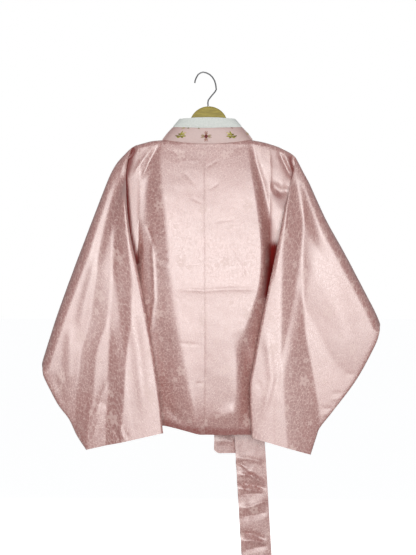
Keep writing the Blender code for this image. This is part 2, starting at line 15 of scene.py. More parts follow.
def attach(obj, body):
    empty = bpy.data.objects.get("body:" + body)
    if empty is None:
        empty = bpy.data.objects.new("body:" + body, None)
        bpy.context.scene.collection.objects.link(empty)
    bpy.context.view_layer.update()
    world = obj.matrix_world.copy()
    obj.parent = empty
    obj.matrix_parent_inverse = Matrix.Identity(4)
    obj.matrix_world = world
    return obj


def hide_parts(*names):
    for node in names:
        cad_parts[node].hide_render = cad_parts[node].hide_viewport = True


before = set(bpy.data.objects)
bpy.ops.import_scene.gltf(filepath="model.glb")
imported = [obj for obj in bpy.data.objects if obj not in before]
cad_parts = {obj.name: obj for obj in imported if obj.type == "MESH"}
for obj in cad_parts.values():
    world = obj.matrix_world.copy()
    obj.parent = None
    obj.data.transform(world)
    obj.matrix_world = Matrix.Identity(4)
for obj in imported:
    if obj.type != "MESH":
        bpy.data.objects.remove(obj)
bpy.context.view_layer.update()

MM = 0.001
FLOOR_Z = -1.45
SHARP_EDGE = math.radians(50)
QUARTER_TURN = math.radians(90)

# Places read in the photograph: its middle under the hook, and millimetres to a pixel
PHOTO_CENTRE = (203.2, 72.85)
PHOTO_SCALE = 2.2

# Sizes of the jacket, those of its solids except for the finer seams
CLOTH = 1.6
SEAM_GAP = 0.06
CENTRE_BACK = -2.9
NECK_CENTRE = -9.5
NECK_HALF_WIDTH = 99.0
NECK_DROP = 10.3
NECK_POINT_X = NECK_CENTRE + NECK_HALF_WIDTH
NECK_POINT_Z = -147.5
ARMHOLE_HALF = 144.0
UNDERARM_Z = -395.0
FLARE_START = 14.0  # below the underarm
FLARE_FROM = 0.25  # share of the half width that stays straight
UNDERARM_EASE = 0.2
UNDERARM_OVERLAP = 1.8
HEM_HALF = 200.0
HEM_Z = -795.0
FRONT_HEM_Z = -777.0
SHOULDER_ROLL = 11.0
SHOULDER_ROWS = (0.0, 0.01, 0.05, 0.11, 0.2, 0.32, 0.48, 0.66, 0.85, 1.0)
UNDER_SEAM_ROLL = 4.0
SIDE_SEAM_Y = 1.9
COLLAR_TOP_HALF = 60.0
COLLAR_TOP_X = NECK_CENTRE + COLLAR_TOP_HALF
COLLAR_TOP_Z = -102.0
COLLAR_STAND_Y = 16.0

# The white strip: its share of the collar's height, how many stations shorter it is at each
# end, and the small step where its two halves are joined behind the neck
STRIP_SHARE = 0.385
BAND_SHARE = 1 - STRIP_SHARE
STRIP_SEAM = 0.004
STRIP_CLOTH = 2.0
STRIP_ENDS = 7
STRIP_JOIN = 1.1
STRIP_JOIN_X = -22.0

# The outer front over the inner one, and the run of the collar's two edges down a front
OVERLAP_STEP = 6.0
OVERLAP_EASE = 34.0
FRONT_RUN = (-151.5, -250.0)
FRONT_RUN_TOP = (-160.0, -266.0)

# The camera's place, and the height that it sees at the hanger's plane
VIEW_DISTANCE = 3000.0
VIEW_CENTRE = (-10.6, -450.2)
VIEW_HEIGHT = 1221.0

# Top line of the shoulders: x, z
SHOULDER_LINE = (
    (-206, -187), (-191, -176), (-165, -163), (-138, -154), (-108, -148),
    (89, -148), (113, -150), (139, -157), (152, -161), (165, -174),
)

# Hem of the back: x, z
HEM_LINE = (
    (-205, -799), (-103, -795), (7, -795), (33, -788), (60, -781), (88, -775), (198, -781),
)

# How far the middle of the back stands out: z, y
BACK_DEPTH = (
    (-148, 9.3), (-170, 12), (-220, 19), (-300, 26), (-400, 31), (-477, 34.5),
    (-560, 33.3), (-650, 30.3), (-740, 26), (-770, 20.5), (-785, 14), (-795, 8),
)

# Depth of the shell at the armhole: z, y
ARMHOLE_DEPTH_LEFT = ((-158, 9.3), (-200, 12), (-320, 15), (-372, 14), (-389, 9), (-395, 2.6))
ARMHOLE_DEPTH_RIGHT = ((-158, 9.3), (-200, 12), (-250, 13), (-330, 8), (-391, 4), (-395, 2.6))

# Halves of the back: z, then distance from the centre seam and depth of the long ridge, of
# the valley beside it and of the low ridge along the armhole
LEFT_FOLDS = (
    (-148, 80, 9.3, 100, 9.0, 125, 9.3),
    (-165, 96, 12, 108, 9.5, 134, 10.5),
    (-200, 95, 19, 120, 10.5, 138, 11.5),
    (-260, 92, 26, 129, 13, 140, 13.5),
    (-320, 85, 30, 131, 16, 140, 15.5),
    (-400, 78, 31.5, 124, 22.5, 140, 19),
    (-480, 69, 33.5, 117, 24.5, 139, 19),
    (-570, 57, 34, 112, 21, 140, 16),
    (-650, 42, 33, 108, 16.5, 140, 13),
    (-730, 24, 31, 100, 8, 140, 11),
    (-775, 16, 24, 98, 5, 140, 8),
    (-795, 10, 14, 98, 3, 140, 6),
)
RIGHT_FOLDS = (
    (-148, 94, 9.3, 101, 9.0, 112, 9.3),
    (-165, 98, 12.5, 104, 9.5, 114, 11),
    (-203, 104, 19, 112, 9, 122, 12.5),
    (-249, 111, 25, 127, 9, 138, 12),
    (-304, 119, 28, 138, 8, 142, 9),
    (-350, 125, 31, 143, 7, 148, 7),
    (-394, 128, 33, 145, 5, 150, 5),
    (-440, 126, 34, 144, 6, 150, 6),
    (-478, 121, 34, 141, 8, 150, 8),
    (-540, 98, 33.5, 138, 11, 152, 9),
    (-600, 75, 33, 128, 10, 152, 9),
    (-700, 70, 31, 124, 9, 155, 9),
    (-760, 62, 26, 118, 8, 157, 8),
    (-795, 55, 14, 115, 6, 160, 6),
)

# How far the middle of the front stands out: z, y
FRONT_DEPTH = (
    (-148, 9.3), (-170, 12), (-220, 17), (-300, 21), (-420, 24), (-600, 24), (-740, 22), (-790, 19),
)

# Each sleeve turns back on itself along an oblique fold. Outlines as seen from the back, at
# the hanger's plane: x, z
LEFT_SLEEVE = {
    "fold": ((159, -168), (179, -185), (192, -198), (218, -260), (258, -363), (297, -467),
             (324, -544), (349, -625), (354, -647)),
    "inner": ((159, -168), (167, -190), (173, -213), (174, -240), (170, -270), (165, -319),
              (157, -372), (139, -458), (117, -576), (98, -696), (88, -792)),
    "outer": ((354, -647), (353, -660), (348, -676), (322, -729), (297, -764), (280, -799),
              (258, -830)),
    "under": ((142.6, -408), (147, -432), (174, -470), (250, -552), (305, -608)),
    "bend": (12.0, 17.0),
}
RIGHT_SLEEVE = {
    "fold": ((-206, -187), (-231, -240), (-270, -324), (-310, -396), (-349, -471), (-376, -524),
             (-389, -557)),
    "inner": ((-206, -187), (-198, -215), (-191, -256), (-178, -305), (-165, -372), (-146, -462),
              (-122, -579), (-110, -645), (-103, -683), (-103, -733), (-107, -803)),
    "outer": ((-389, -557), (-387, -575), (-376, -605), (-338, -676), (-286, -746), (-258, -782),
              (-251, -799), (-237, -841)),
    "under": ((-148.6, -408), (-153.2, -432), (-180, -460), (-262, -505), (-330, -534)),
    "bend": (8.5, 17.0),
}

# The sleeves' thickness at their edges and how much it grows in the middle, how far the fold's
# line lies inside the outline, and how far past the fold the flap has its own depth,
# thickness, creases and raised and lowered bands
SLEEVE_PUFF = (2.6, 4.6)
FOLD_INSET = 4.5
DEPTH_RUN = 90.0
PUFF_RUN = 60.0
CREASE_RUN = 26.0
RAISED_RUN = 30.0
LOWERED_RUN = 110.0

# Depth of the flap along its inner and outer edges: z, y at the inner edge, y at the outer edge
FLAP_DEPTH = (
    (-168, 20, 24), (-250, 21, 26), (-330, 24, 30), (-420, 27, 32), (-520, 29, 34),
    (-620, 31, 34), (-720, 33, 34), (-830, 34, 34),
)

# Ribbons: x at the knot, x at the end, z of the end, y, rise of the round corner, rows
RIBBON_WIDTH = 67.0
RIBBON_CLOTH = 1.8
RIBBONS = {
    "long": (-82.0, -120.5, -1096.0, -37.5, 0.0, 230),
    "short": (-66.0, -57.5, -842.0, -43.0, 8.0, 150),
}
KNOT_PLACE = (-74.0, -39.6, -425.0)
KNOT_SIZE = (50.0, 20.0, 46.0)
LOOP_LENGTH = 112.0
LOOP_RADIUS = 4.5

# Hanger arm: distance from its centre, z of the top edge, height, half thickness
HANGER_ARM = (
    (166, -172.5, 9, 2.6), (160, -170, 13, 3.6), (151, -165, 16, 5.0), (126, -154.6, 20, 6.0),
    (97, -151.2, 25, 6.0), (68, -149, 30, 6.0), (48, -141, 42, 6.0),
)
HANGER_TILT = 2.3 / 150.0
HEAD_CENTRE = (-12.1, -116.3)
HEAD_RADIUS = 42.2
HEAD_THICKNESS = 12.6

# Creases of the back: route in photograph places, height, half width, sharpness.
# A positive height stands out, a negative one is a trough; sharpness 1 has a peak, 2 is round.
BACK_CREASES = (
    (((160, 144), (150, 160), (141, 180)), -2.2, 4.5, 1.3),
    (((156, 143), (143, 160), (133, 176)), 1.8, 5.0, 1.4),
    (((151.3, 239), (153.4, 268), (154.4, 299), (150, 336)), 2.2, 3.5, 1.1),
    (((146, 224), (151, 236), (153, 244)), -1.6, 2.6, 1.2),
    (((155, 228), (164, 226)), -0.8, 2.2, 1.5),
    (((156, 236), (166, 233)), -0.7, 2.2, 1.5),
    (((155, 254), (168, 250)), -1.0, 2.4, 1.4),
    (((157, 259), (169, 261)), -1.1, 2.4, 1.4),
    (((155, 265), (170, 268)), 0.9, 2.4, 1.4),
    (((153, 278), (170, 279)), -0.5, 2.2, 1.5),
    (((175, 289.5), (204, 290.5), (232, 289), (263, 289.5)), 1.5, 5.5, 1.0),
    (((175, 343), (201, 345)), -0.5, 3.5, 1.3),
    (((158, 387), (172, 385)), -1.0, 4.0, 1.3),
    (((196, 383), (204, 384)), -0.9, 2.2, 1.3),
    (((174, 163), (190, 160), (204, 163)), 0.3, 4.0, 1.3),
    (((165, 150), (180, 153), (188, 151)), -0.35, 3.0, 1.3),
    (((205, 168), (221, 159)), -0.4, 2.5, 1.4),
    (((209, 190), (219, 183)), -0.5, 2.0, 1.4),
    (((191, 198), (204, 204)), -0.4, 2.4, 1.4),
    (((215, 222), (235, 219)), -0.5, 2.2, 1.4),
    (((222, 248), (246, 268), (250, 287)), -0.35, 3.0, 1.3),
    (((225, 236), (243, 262), (245, 284)), 0.5, 3.0, 1.3),
    (((184, 172), (196, 186)), -0.4, 3.0, 1.4),
    (((270, 150), (270.5, 172), (270, 200)), 1.0, 2.2, 1.1),
    (((270, 183), (280, 192), (292, 190)), -5.0, 9.0, 1.7),
    (((278, 151), (284, 164), (291, 178)), -3.4, 4.0, 1.4),
    (((284, 150), (287, 160), (292, 172)), 2.6, 4.0, 1.4),
    (((165, 405), (178, 418), (196, 428)), -2.2, 9.0, 1.8),
    (((240, 330), (250, 372), (252, 404), (240, 424)), -5.0, 18.0, 2.0),
    (((215, 420), (232, 412), (246, 414)), 2.6, 15.0, 2.0),
)

# Creases of the fronts, which the photograph doesn't show: as plain as the back's small ones
FRONT_CREASES = (
    (((150, 200), (158, 260), (170, 330)), -2.5, 12.0, 1.8),
    (((254, 210), (248, 280), (236, 350)), -2.5, 12.0, 1.8),
    (((165, 290), (205, 289), (250, 290)), 1.2, 5.0, 1.0),
    (((185, 330), (178, 380), (170, 425)), 2.0, 12.0, 1.8),
    (((228, 330), (236, 380), (240, 425)), -2.0, 12.0, 1.8),
    (((200, 345), (214, 352)), -0.8, 3.0, 1.4),
    (((176, 240), (190, 236)), -0.7, 3.0, 1.4),
)

# Painted shade: dark red painted where folds are so deep that their silk only mirrors silk, and along
# the hem: route in photograph places, reach, strength. Within this share of the reach the strength is
# full.
SHADE_SPOT_CORE = 0.3
PAINTED_SHADE_SPOTS = (
    (((273.5, 247), (273.5, 256), (272, 268), (269, 294)), 16.0, 1.0),
    (((269, 222), (272, 238), (273.5, 252)), 11.0, 0.3),
    (((291, 158), (292, 178)), 6.0, 0.7),
    (((276, 196), (284, 206)), 14.0, 0.45),
    (((132, 150), (129, 162), (125, 175)), 13.0, 0.8),
    (((125, 176), (127.5, 205), (130, 232), (137, 262)), 8.0, 0.95),
    (((160, 423), (182, 430), (204, 433), (252, 433.5)), 13.0, 0.55),
)

# Creases of the sleeves' flaps: side, route in photograph places, height, half width, sharpness
FLAP_CREASES = (
    ("left", ((112, 372), (100, 402), (88, 432)), 2.4, 7.0, 1.5),
    ("left", ((66, 320), (70, 352), (70, 390)), 3.0, 14.0, 2.0),
    ("left", ((100, 405), (98, 420), (92, 440)), 2.0, 4.0, 1.3),
    ("left", ((112, 426), (117, 434), (120, 442)), -2.6, 3.0, 1.3),
    ("left", ((118, 424), (123, 433), (126, 441)), 2.2, 3.0, 1.3),
    ("left", ((122, 428), (128, 438)), -2.0, 2.6, 1.3),
    ("left", ((92, 404), (102, 402), (110, 410)), -1.2, 3.0, 1.3),
    ("left", ((52, 372), (60, 392), (66, 412)), -1.6, 5.0, 1.5),
    ("left", ((130, 300), (138, 350), (145, 420)), 2.5, 13.0, 2.0),
    ("left", ((118, 190), (114, 240), (108, 290)), -2.5, 12.0, 2.0),
    ("left", ((95, 250), (85, 300), (78, 340)), 2.5, 14.0, 2.0),
    ("left", ((118, 222), (127, 222)), -0.9, 2.6, 1.4),
    ("right", ((284, 200), (281, 240), (274, 285)), 2.0, 8.0, 1.6),
    ("right", ((330, 250), (345, 320), (338, 380)), 1.2, 26.0, 2.0),
    ("right", ((266, 330), (272, 380), (262, 420)), 2.0, 9.0, 1.8),
    ("right", ((262, 386), (254, 383)), -1.2, 2.6, 1.3),
    ("right", ((345, 375), (357, 374)), -1.0, 2.0, 1.3),
    ("right", ((332, 394), (347, 393)), -1.0, 2.0, 1.3),
    ("right", ((330, 400), (343, 399)), 0.9, 2.0, 1.3),
    ("right", ((322, 409), (334, 409)), -1.1, 2.0, 1.3),
    ("right", ((320, 416), (329, 415)), 0.8, 2.0, 1.3),
    ("right", ((322, 424), (314, 420)), -0.8, 2.4, 1.3),
    ("right", ((300, 195), (318, 200), (330, 212)), -0.8, 4.0, 1.4),
)

# Broad tilted bands of the flaps: side, drop, power, rows of photograph height with the
# places where the slope starts and where it ends
FLAP_TERRACES = (
    ("left", 17.0, 1.0, ((168, 121, 119), (212, 125, 112), (283, 132, 112), (319, 131, 109),
                         (354, 126, 109), (395, 124, 108), (420, 122, 106), (450, 121, 106))),
    ("left", 15.0, 1.0, ((168, 118, 116), (212, 112, 102), (283, 110, 95), (319, 108, 90),
                         (354, 96, 80), (395, 93, 76), (420, 88, 74), (450, 86, 74))),
    ("right", 20.0, 1.1, ((168, 292, 296), (200, 287, 304), (240, 284, 303), (290, 281, 303),
                          (333, 281, 305.4), (360, 281, 310.9), (404, 284, 318.5), (455, 288, 324))),
    ("right", -8.0, 1.0, ((168, 296, 308), (200, 304, 328), (240, 304, 345), (290, 304, 360),
                          (333, 306, 374), (360, 312, 376), (404, 319, 354), (455, 325, 347))),
)

# Creases of the hanging ribbons: ribbon, route in photograph places, height, half width,
# sharpness
RIBBON_CREASES = (
    ("long", ((235, 457), (250, 459), (266, 462)), 1.6, 5.0, 1.2),
    ("long", ((236, 461), (243, 466), (252, 474)), -2.4, 3.4, 1.2),
    ("long", ((238, 466), (246, 469), (257, 480)), 2.0, 3.4, 1.2),
    ("long", ((237, 474), (250, 475), (264, 484)), 2.6, 4.6, 1.3),
    ("long", ((237, 483), (252, 485), (267, 489)), -2.6, 3.8, 1.2),
    ("long", ((237, 488), (252, 490), (266, 493)), 2.0, 3.2, 1.2),
    ("long", ((238, 495), (252, 494), (267, 492)), -1.6, 4.0, 1.4),
    ("long", ((238, 508), (250, 507), (268, 500)), 2.2, 7.0, 1.5),
    ("long", ((239, 517), (252, 516), (268, 512)), -1.6, 6.0, 1.6),
    ("long", ((239, 533), (252, 534), (266, 541)), -3.0, 5.0, 1.3),
    ("long", ((240, 541), (252, 540), (268, 544)), 3.0, 5.0, 1.3),
    ("long", ((240, 551), (252, 549), (268, 545)), -1.8, 5.0, 1.5),
    ("short", ((214, 442), (225, 440), (237, 443)), 1.0, 6.0, 1.6),
    ("short", ((214, 434), (225, 433), (237, 434)), -1.4, 6.0, 1.6),
)

# Small golden age marks on the left sleeve, in the form of the painted fold shade spots
MARK_CORE = 0.6
AGE_MARKS = (
    (((89.5, 405.5), (94, 403.5)), 2.0, 0.7),
    (((101, 404.5), (104.5, 402.8)), 2.0, 0.7),
    (((144.5, 420.5), (148, 420)), 2.0, 0.7),
)

# Small hollows and bumps of the cloth, in layers: height, size, seed
BODY_CRUMPLE = ((0.4, 46.0, 3.1), (0.1, 17.0, 7.7))
SLEEVE_CRUMPLE = {
    "left": ((0.3, 38.0, 5.3), (0.08, 15.0, 2.4)),
    "right": ((0.3, 38.0, 9.9), (0.08, 15.0, 2.4)),
}
BAND_CRUMPLE = ((0.18, 22.0, 1.7),)
RIBBON_CRUMPLE = ((0.5, 34.0, 4.2), (0.2, 12.0, 8.8))

# Colours of the silks
PINK_SATIN = (0.455, 0.178, 0.156)
CREAM_FIGURE = (0.83, 0.575, 0.52)
PALE_SATIN = (0.60, 0.34, 0.31)
PALE_FIGURE = (0.80, 0.64, 0.60)
CRISP_SATIN = (0.56, 0.34, 0.31)
CRISP_FIGURE = (0.68, 0.47, 0.43)
# Painted shade: the dark red that the deepest folds and the hem are painted with
PAINTED_SHADE_RED = (0.19, 0.014, 0.012)
AGED_GOLD = (0.55, 0.36, 0.10)

# Embroidery floss: name, colour where it is laid full, colour between the strands
FLOSS = (
    ("gold", (0.50, 0.33, 0.13), (0.34, 0.20, 0.08)),
    ("rose", (0.60, 0.36, 0.32), (0.40, 0.19, 0.17)),
    ("sand", (0.55, 0.42, 0.27), (0.36, 0.22, 0.14)),
    ("crimson", (0.24, 0.025, 0.03), (0.12, 0.012, 0.015)),
    ("olive", (0.50, 0.46, 0.05), (0.26, 0.22, 0.02)),
    ("leaf", (0.28, 0.23, 0.03), (0.13, 0.10, 0.015)),
    ("lemon", (0.85, 0.76, 0.26), (0.62, 0.50, 0.14)),
)
GOLD, ROSE, SAND, CRIMSON, OLIVE, LEAF, LEMON = range(7)

# Motifs on the collar band: x of the middle one, places of the others along the band from it,
# and how far the stitches stand on the band
MOTIF_CENTRE = -6.5
MOTIF_PLACES = (0.0, 54.5, 99.0, 154.0, 209.0, 264.0, 319.0)
STITCH_BASE = 1.35 + 0.75 * math.sin(1.2)

# Leaves of a sprig: base, tip, width, floss
SPRIG_LEAVES = (
    ((0.0, -3.5), (-0.6, 10.5), 4.6, OLIVE),
    ((0.2, 0.5), (-7.5, 2.6), 4.0, LEAF),
    ((0.4, 1.0), (9.5, 7.5), 2.6, LEMON),
    ((0.0, 1.2), (7.8, 1.2), 3.6, OLIVE),
    ((0.5, -4.2), (-12.0, -2.2), 4.4, LEAF),
    ((0.0, -4.4), (12.0, -1.6), 4.4, OLIVE),
    ((0.0, -3.2), (-6.0, -7.6), 4.2, OLIVE),
    ((0.0, -3.2), (6.6, -7.2), 4.2, LEAF),
)

# Tips of larger leaves that end under the white strip: base, tip, floss
LEAF_TIPS = (
    ((53, 34.4), (62, 33.6), OLIVE),
    ((48, 34.6), (41, 33.9), LEAF),
    ((21, 34.6), (16, 33.8), LEAF),
    ((-62, 34.6), (-67, 33.6), CRIMSON),
)

# Lights, in metres and watts: name, place, aim, size, power
LIGHTS = (
    ("key", (0.08, 2.9, -0.12), (0.0, 0.0, -0.40), 1.2, 36.0),
    ("side", (-0.55, 2.9, -0.78), (-0.2, 0.0, -0.55), 0.6, 12.5),
    ("front", (-0.12, -2.9, 0.1), (0.0, 0.0, -0.40), 1.1, 36.0),
)


def px(x, y):
    """x and z at the hanger's plane of a place read in the photograph."""
    return (PHOTO_CENTRE[0] - x) * PHOTO_SCALE, (PHOTO_CENTRE[1] - y) * PHOTO_SCALE


def eased(share):
    share = np.clip(share, 0.0, 1.0)
    return share * share * (3.0 - 2.0 * share)


def rolled(share):
    """A quarter circle's rise from 0 to 1, used wherever cloth turns over an edge."""
    share = np.clip(share, 0.0, 1.0)
    return np.sqrt(1.0 - (1.0 - share) ** 2)


def averaged(wanted, places, values, spread, count):
    """Straight runs between the known places, each place rounded over the spread."""
    offsets = np.linspace(-spread, spread, count)
    return np.mean([np.interp(wanted + offset, places, values) for offset in offsets], axis=0)


def column(table, z, index, spread=16.0):
    """The table's column at heights z, eased across the table's own rows."""
    return averaged(-np.asarray(z, float), [-row[0] for row in table],
                    [row[index] for row in table], spread, 7)


def along_x(table, x, spread=8.0):
    rows = sorted(table)
    return averaged(np.asarray(x, float), [row[0] for row in rows], [row[1] for row in rows],
                    spread, 5)


def rounded_profile(keys, position, rounding):
    """Straight and eased runs between (position, value) keys, rounded at each key."""
    total = 0.0
    offsets = np.linspace(-rounding, rounding, 5)
    for offset in offsets:
        value = keys[0][1]
        for (start, low), (end, high) in zip(keys, keys[1:]):
            share = np.clip((position + offset - start) / np.maximum(end - start, 1.0), 0, 1)
            value = value + (high - low) * (0.6 * share + 0.4 * eased(share))
        total = total + value
    return total / len(offsets)


def resampled(wanted, known, points):
    """Points at the wanted places of a line whose own points lie at the known places."""
    return np.column_stack([np.interp(wanted, known, axis) for axis in points.T])


def travelled(points):
    """How far along a line each of its points lies."""
    return np.r_[0, np.cumsum(np.linalg.norm(np.diff(points, axis=0), axis=1))]


def spline(points, shares):
    """Points at shares of the length of a smooth curve through the given points."""
    knots = np.array(points, float)
    knots = np.vstack([2 * knots[0] - knots[1], knots, 2 * knots[-1] - knots[-2]])
    dense = []
    for a, b, c, d in zip(knots, knots[1:], knots[2:], knots[3:]):
        for t in np.linspace(0, 1, 24, endpoint=False):
            bend = (2 * a - 5 * b + 4 * c - d) * t**2 + (3 * b - a - 3 * c + d) * t**3
            dense.append(0.5 * (2 * b + (c - a) * t + bend))
    dense = np.array(dense + [knots[-2]])
    steps = travelled(dense)
    return resampled(np.asarray(shares) * steps[-1], steps, dense)


def shoulder_z(x):
    return along_x(SHOULDER_LINE, x)


def side_edge(z):
    """Distance of the armhole, and below it of the side seam, from the centre seam."""
    flare_top = UNDERARM_Z - FLARE_START
    below = np.maximum(flare_top - z, 0.0) / (flare_top - HEM_Z)
    seam = eased((UNDERARM_Z - z) / 10.0) * (1 - eased((UNDERARM_Z - 45 - z) / 70.0))
    return ARMHOLE_HALF + (HEM_HALF - ARMHOLE_HALF) * below**0.9 + UNDERARM_OVERLAP * seam


def edge_depth(z, left):
    at_armhole = column(ARMHOLE_DEPTH_LEFT if left else ARMHOLE_DEPTH_RIGHT, z, 1, 3.0)
    return np.where(z < UNDERARM_Z - 3, SIDE_SEAM_Y, at_armhole)


def back_depth(x, z, left):
    """Where the outer face of the back lies."""
    x, z = np.broadcast_arrays(np.asarray(x, float), np.asarray(z, float))
    folds = LEFT_FOLDS if left else RIGHT_FOLDS
    ridge, ridge_y, valley, valley_y, low, low_y = [column(folds, z, index) for index in range(1, 7)]
    edge = side_edge(z)
    keys = [(0.0 * z, column(BACK_DEPTH, z, 1)), (ridge, ridge_y), (valley, valley_y),
            (np.minimum(low, edge - 5), low_y), (edge, edge_depth(z, left))]
    away = np.abs(x - CENTRE_BACK)
    return rounded_profile(keys, away, 5.0) * rolled((shoulder_z(x) - z) / SHOULDER_ROLL)


def front_depth(x, z, outer):
    """Where the outer face of a front lies; the outer front clears the inner one."""
    x, z = np.broadcast_arrays(np.asarray(x, float), np.asarray(z, float))
    middle = column(FRONT_DEPTH, z, 1)
    side = np.where(x > CENTRE_BACK, edge_depth(z, True), edge_depth(z, False))
    keys = [(0.0 * z, middle), (70.0 + 0.0 * z, middle * 0.97), (side_edge(z), side)]
    depth = rounded_profile(keys, np.abs(x - CENTRE_BACK), 6.0)
    if outer:
        depth = depth + OVERLAP_STEP * eased((CENTRE_BACK + ARMHOLE_HALF - x) / OVERLAP_EASE)
    return -depth * rolled((shoulder_z(x) - z) / SHOULDER_ROLL)


def neck_z(x):
    """The seam of the collar across the back of the neck."""
    share = np.minimum(np.abs(x - NECK_CENTRE) / NECK_HALF_WIDTH, 1.0)
    return NECK_POINT_Z - NECK_DROP * (1 - share**2)


def mirrored(x):
    return 2 * NECK_CENTRE - x


def front_neck_z(x, outer):
    """The collar's seam down a front, and the collar's square end below it."""
    if not outer:
        x = mirrored(x)
    low_x = NECK_POINT_X + FRONT_RUN[0]
    low_z = NECK_POINT_Z + FRONT_RUN[1]
    end_x = COLLAR_TOP_X + FRONT_RUN_TOP[0]
    end_z = COLLAR_TOP_Z + FRONT_RUN_TOP[1]
    run = NECK_POINT_Z + (NECK_POINT_X - x) * FRONT_RUN[1] / -FRONT_RUN[0]
    return np.where(x >= low_x, run, low_z + (end_z - low_z) * (low_x - x) / (low_x - end_x))


def route_gap(route, x, z):
    """Distance of each place from a route, and the share of the route's length beside it."""
    points = np.array([px(*place) for place in route], float)
    before = travelled(points)
    nearest = np.full(np.shape(x), 1e9)
    share = np.zeros(np.shape(x))
    for start, end, passed, reached in zip(points, points[1:], before, before[1:]):
        run = (end - start) / (reached - passed)
        along = (x - start[0]) * run[0] + (z - start[1]) * run[1]
        along = np.clip(along, 0, reached - passed)
        gap = np.hypot(x - start[0] - run[0] * along, z - start[1] - run[1] * along)
        closer = gap < nearest
        nearest = np.where(closer, gap, nearest)
        share = np.where(closer, (passed + along) / before[-1], share)
    return nearest, share


def crease_height(creases, x, z):
    """Sum of the creases: each fades to nothing at both ends of its route."""
    height = np.zeros(np.shape(x))
    for route, rise, half_width, sharpness in creases:
        gap, share = route_gap(route, x, z)
        fade = eased(share / 0.3 + 0.15) * eased((1 - share) / 0.3 + 0.15)
        height += rise * fade * np.exp(-((gap / half_width) ** sharpness))
    return height


def spot_strength(spots, core, x, z):
    """From 0 to each spot's strength: full within the core, a share of its reach, then fading."""
    strength = np.zeros(np.shape(x))
    for route, reach, most in spots:
        gap, _ = route_gap(route, x, z)
        strength = np.maximum(strength, most * eased(1 + core - gap / reach))
    return strength


def terrace_height(side, x, z):
    """Steps between broad bands of a flap: the slope starts softly and ends in an edge."""
    raised, lowered = 0.0 * x, 0.0 * x
    for where, drop, power, rows in FLAP_TERRACES:
        if where != side:
            continue
        table = [(px(0, y)[1], px(start, 0)[0], px(end, 0)[0]) for y, start, end in rows]
        start, end = column(table, z, 1), column(table, z, 2)
        share = np.clip((x - start) / (end - start), 0, 1) ** power
        fade = drop * eased((table[0][0] - z) / 50.0)
        high = 0.35 + 0.55 * eased((z + 560) / 230.0)
        raised = raised + high * (1 - share) * fade
        lowered = lowered + (1 - high) * share * fade
    return raised, lowered


def crumple(layers, x, y, z):
    """Smooth small hollows and bumps."""
    places = np.column_stack([np.ravel(x), np.ravel(y), np.ravel(z)])
    total = 0.0
    for height, size, seed in layers:
        values = [noise.noise(Vector(place)) + 0.5 * noise.noise(Vector(place * 2.1))
                  for place in places / size + seed]
        total = total + height * np.reshape(values, np.shape(x))
    return total


def seen_place(x, y, z):
    """Where a point shows at the hanger's plane."""
    nearer = 1 - y / VIEW_DISTANCE
    return (VIEW_CENTRE[0] + (x - VIEW_CENTRE[0]) / nearer,
            VIEW_CENTRE[1] + (z - VIEW_CENTRE[1]) / nearer)


def true_place(x, z, y):
    """From where a point shows at the hanger's plane to where it is, nearer the viewer by y."""
    nearer = 1 - y / VIEW_DISTANCE
    return (VIEW_CENTRE[0] + (x - VIEW_CENTRE[0]) * nearer,
            VIEW_CENTRE[1] + (z - VIEW_CENTRE[1]) * nearer)


class Amount:
    """What a node gives out. Its sums are math nodes, so a material's sums read like sums."""

    def __init__(self, socket):
        self.socket = socket
        self.tree = socket.id_data

    def __add__(self, other):
        return worked("ADD", self, other)

    def __sub__(self, other):
        return worked("SUBTRACT", self, other)

    def __rsub__(self, other):
        return worked("SUBTRACT", other, self)

    def __mul__(self, other):
        return worked("MULTIPLY", self, other)

    def __truediv__(self, other):
        return worked("DIVIDE", self, other)


def node(tree, kind, **settings):
    made = tree.nodes.new(kind)
    for name, value in settings.items():
        setattr(made, name, value)
    return made


def feed(socket, value):
    """Links an amount to the socket, or sets the socket to a number, a colour or a vector."""
    if isinstance(value, Amount):
        value.tree.links.new(value.socket, socket)
    elif socket.type == "RGBA":
        socket.default_value = (*value, 1.0)
    else:
        socket.default_value = value


def fed(made, sockets, output=0):
    """Feeds the sockets of a node by their names or places and gives back its output."""
    for key, value in sockets.items():
        feed(made.inputs[key], value)
    return Amount(made.outputs[output])


def worked(operation, *values, clamp=False):
    """A math node over amounts and plain numbers."""
    tree = next(value.tree for value in values if isinstance(value, Amount))
    made = node(tree, "ShaderNodeMath", operation=operation, use_clamp=clamp)
    return fed(made, dict(enumerate(values)))


def mixed(share, first, second):
    """A colour between two others."""
    made = node(share.tree, "ShaderNodeMix", data_type="RGBA")
    return fed(made, {0: share, 6: first, 7: second}, 2)


def steps(amount, low, high):
    """0 below low, 1 above high, smooth between."""
    made = node(amount.tree, "ShaderNodeMapRange", interpolation_type="SMOOTHSTEP")
    return fed(made, {"Value": amount, "From Min": low, "From Max": high}, "Result")


def noise_of(vector, scale, detail=2.0, roughness=0.5):
    made = node(vector.tree, "ShaderNodeTexNoise")
    sockets = {"Vector": vector, "Scale": scale, "Detail": detail, "Roughness": roughness}
    return fed(made, sockets, "Fac")


def cells_of(vector, feature, sockets):
    made = node(vector.tree, "ShaderNodeTexVoronoi", feature=feature)
    return fed(made, {"Vector": vector, **sockets}, "Distance")


def bands_of(vector, direction, scale, distortion):
    made = node(vector.tree, "ShaderNodeTexWave", wave_type="BANDS", bands_direction=direction)
    return fed(made, {"Vector": vector, "Scale": scale, "Distortion": distortion}, "Fac")


def bumps(height, strength, distance):
    made = node(height.tree, "ShaderNodeBump")
    return fed(made, {"Strength": strength, "Distance": distance, "Height": height})


def own_cut(tree):
    """The cloth's own coordinates in metres."""
    return Amount(node(tree, "ShaderNodeUVMap", uv_map="Cut").outputs[0])


def own_mark(tree, name):
    return Amount(node(tree, "ShaderNodeAttribute", attribute_name=name).outputs["Fac"])


def own_place(tree):
    return Amount(node(tree, "ShaderNodeTexCoord").outputs["Object"])


def new_material(name):
    made = bpy.data.materials.new(name)
    made.use_nodes = True
    return made, made.node_tree


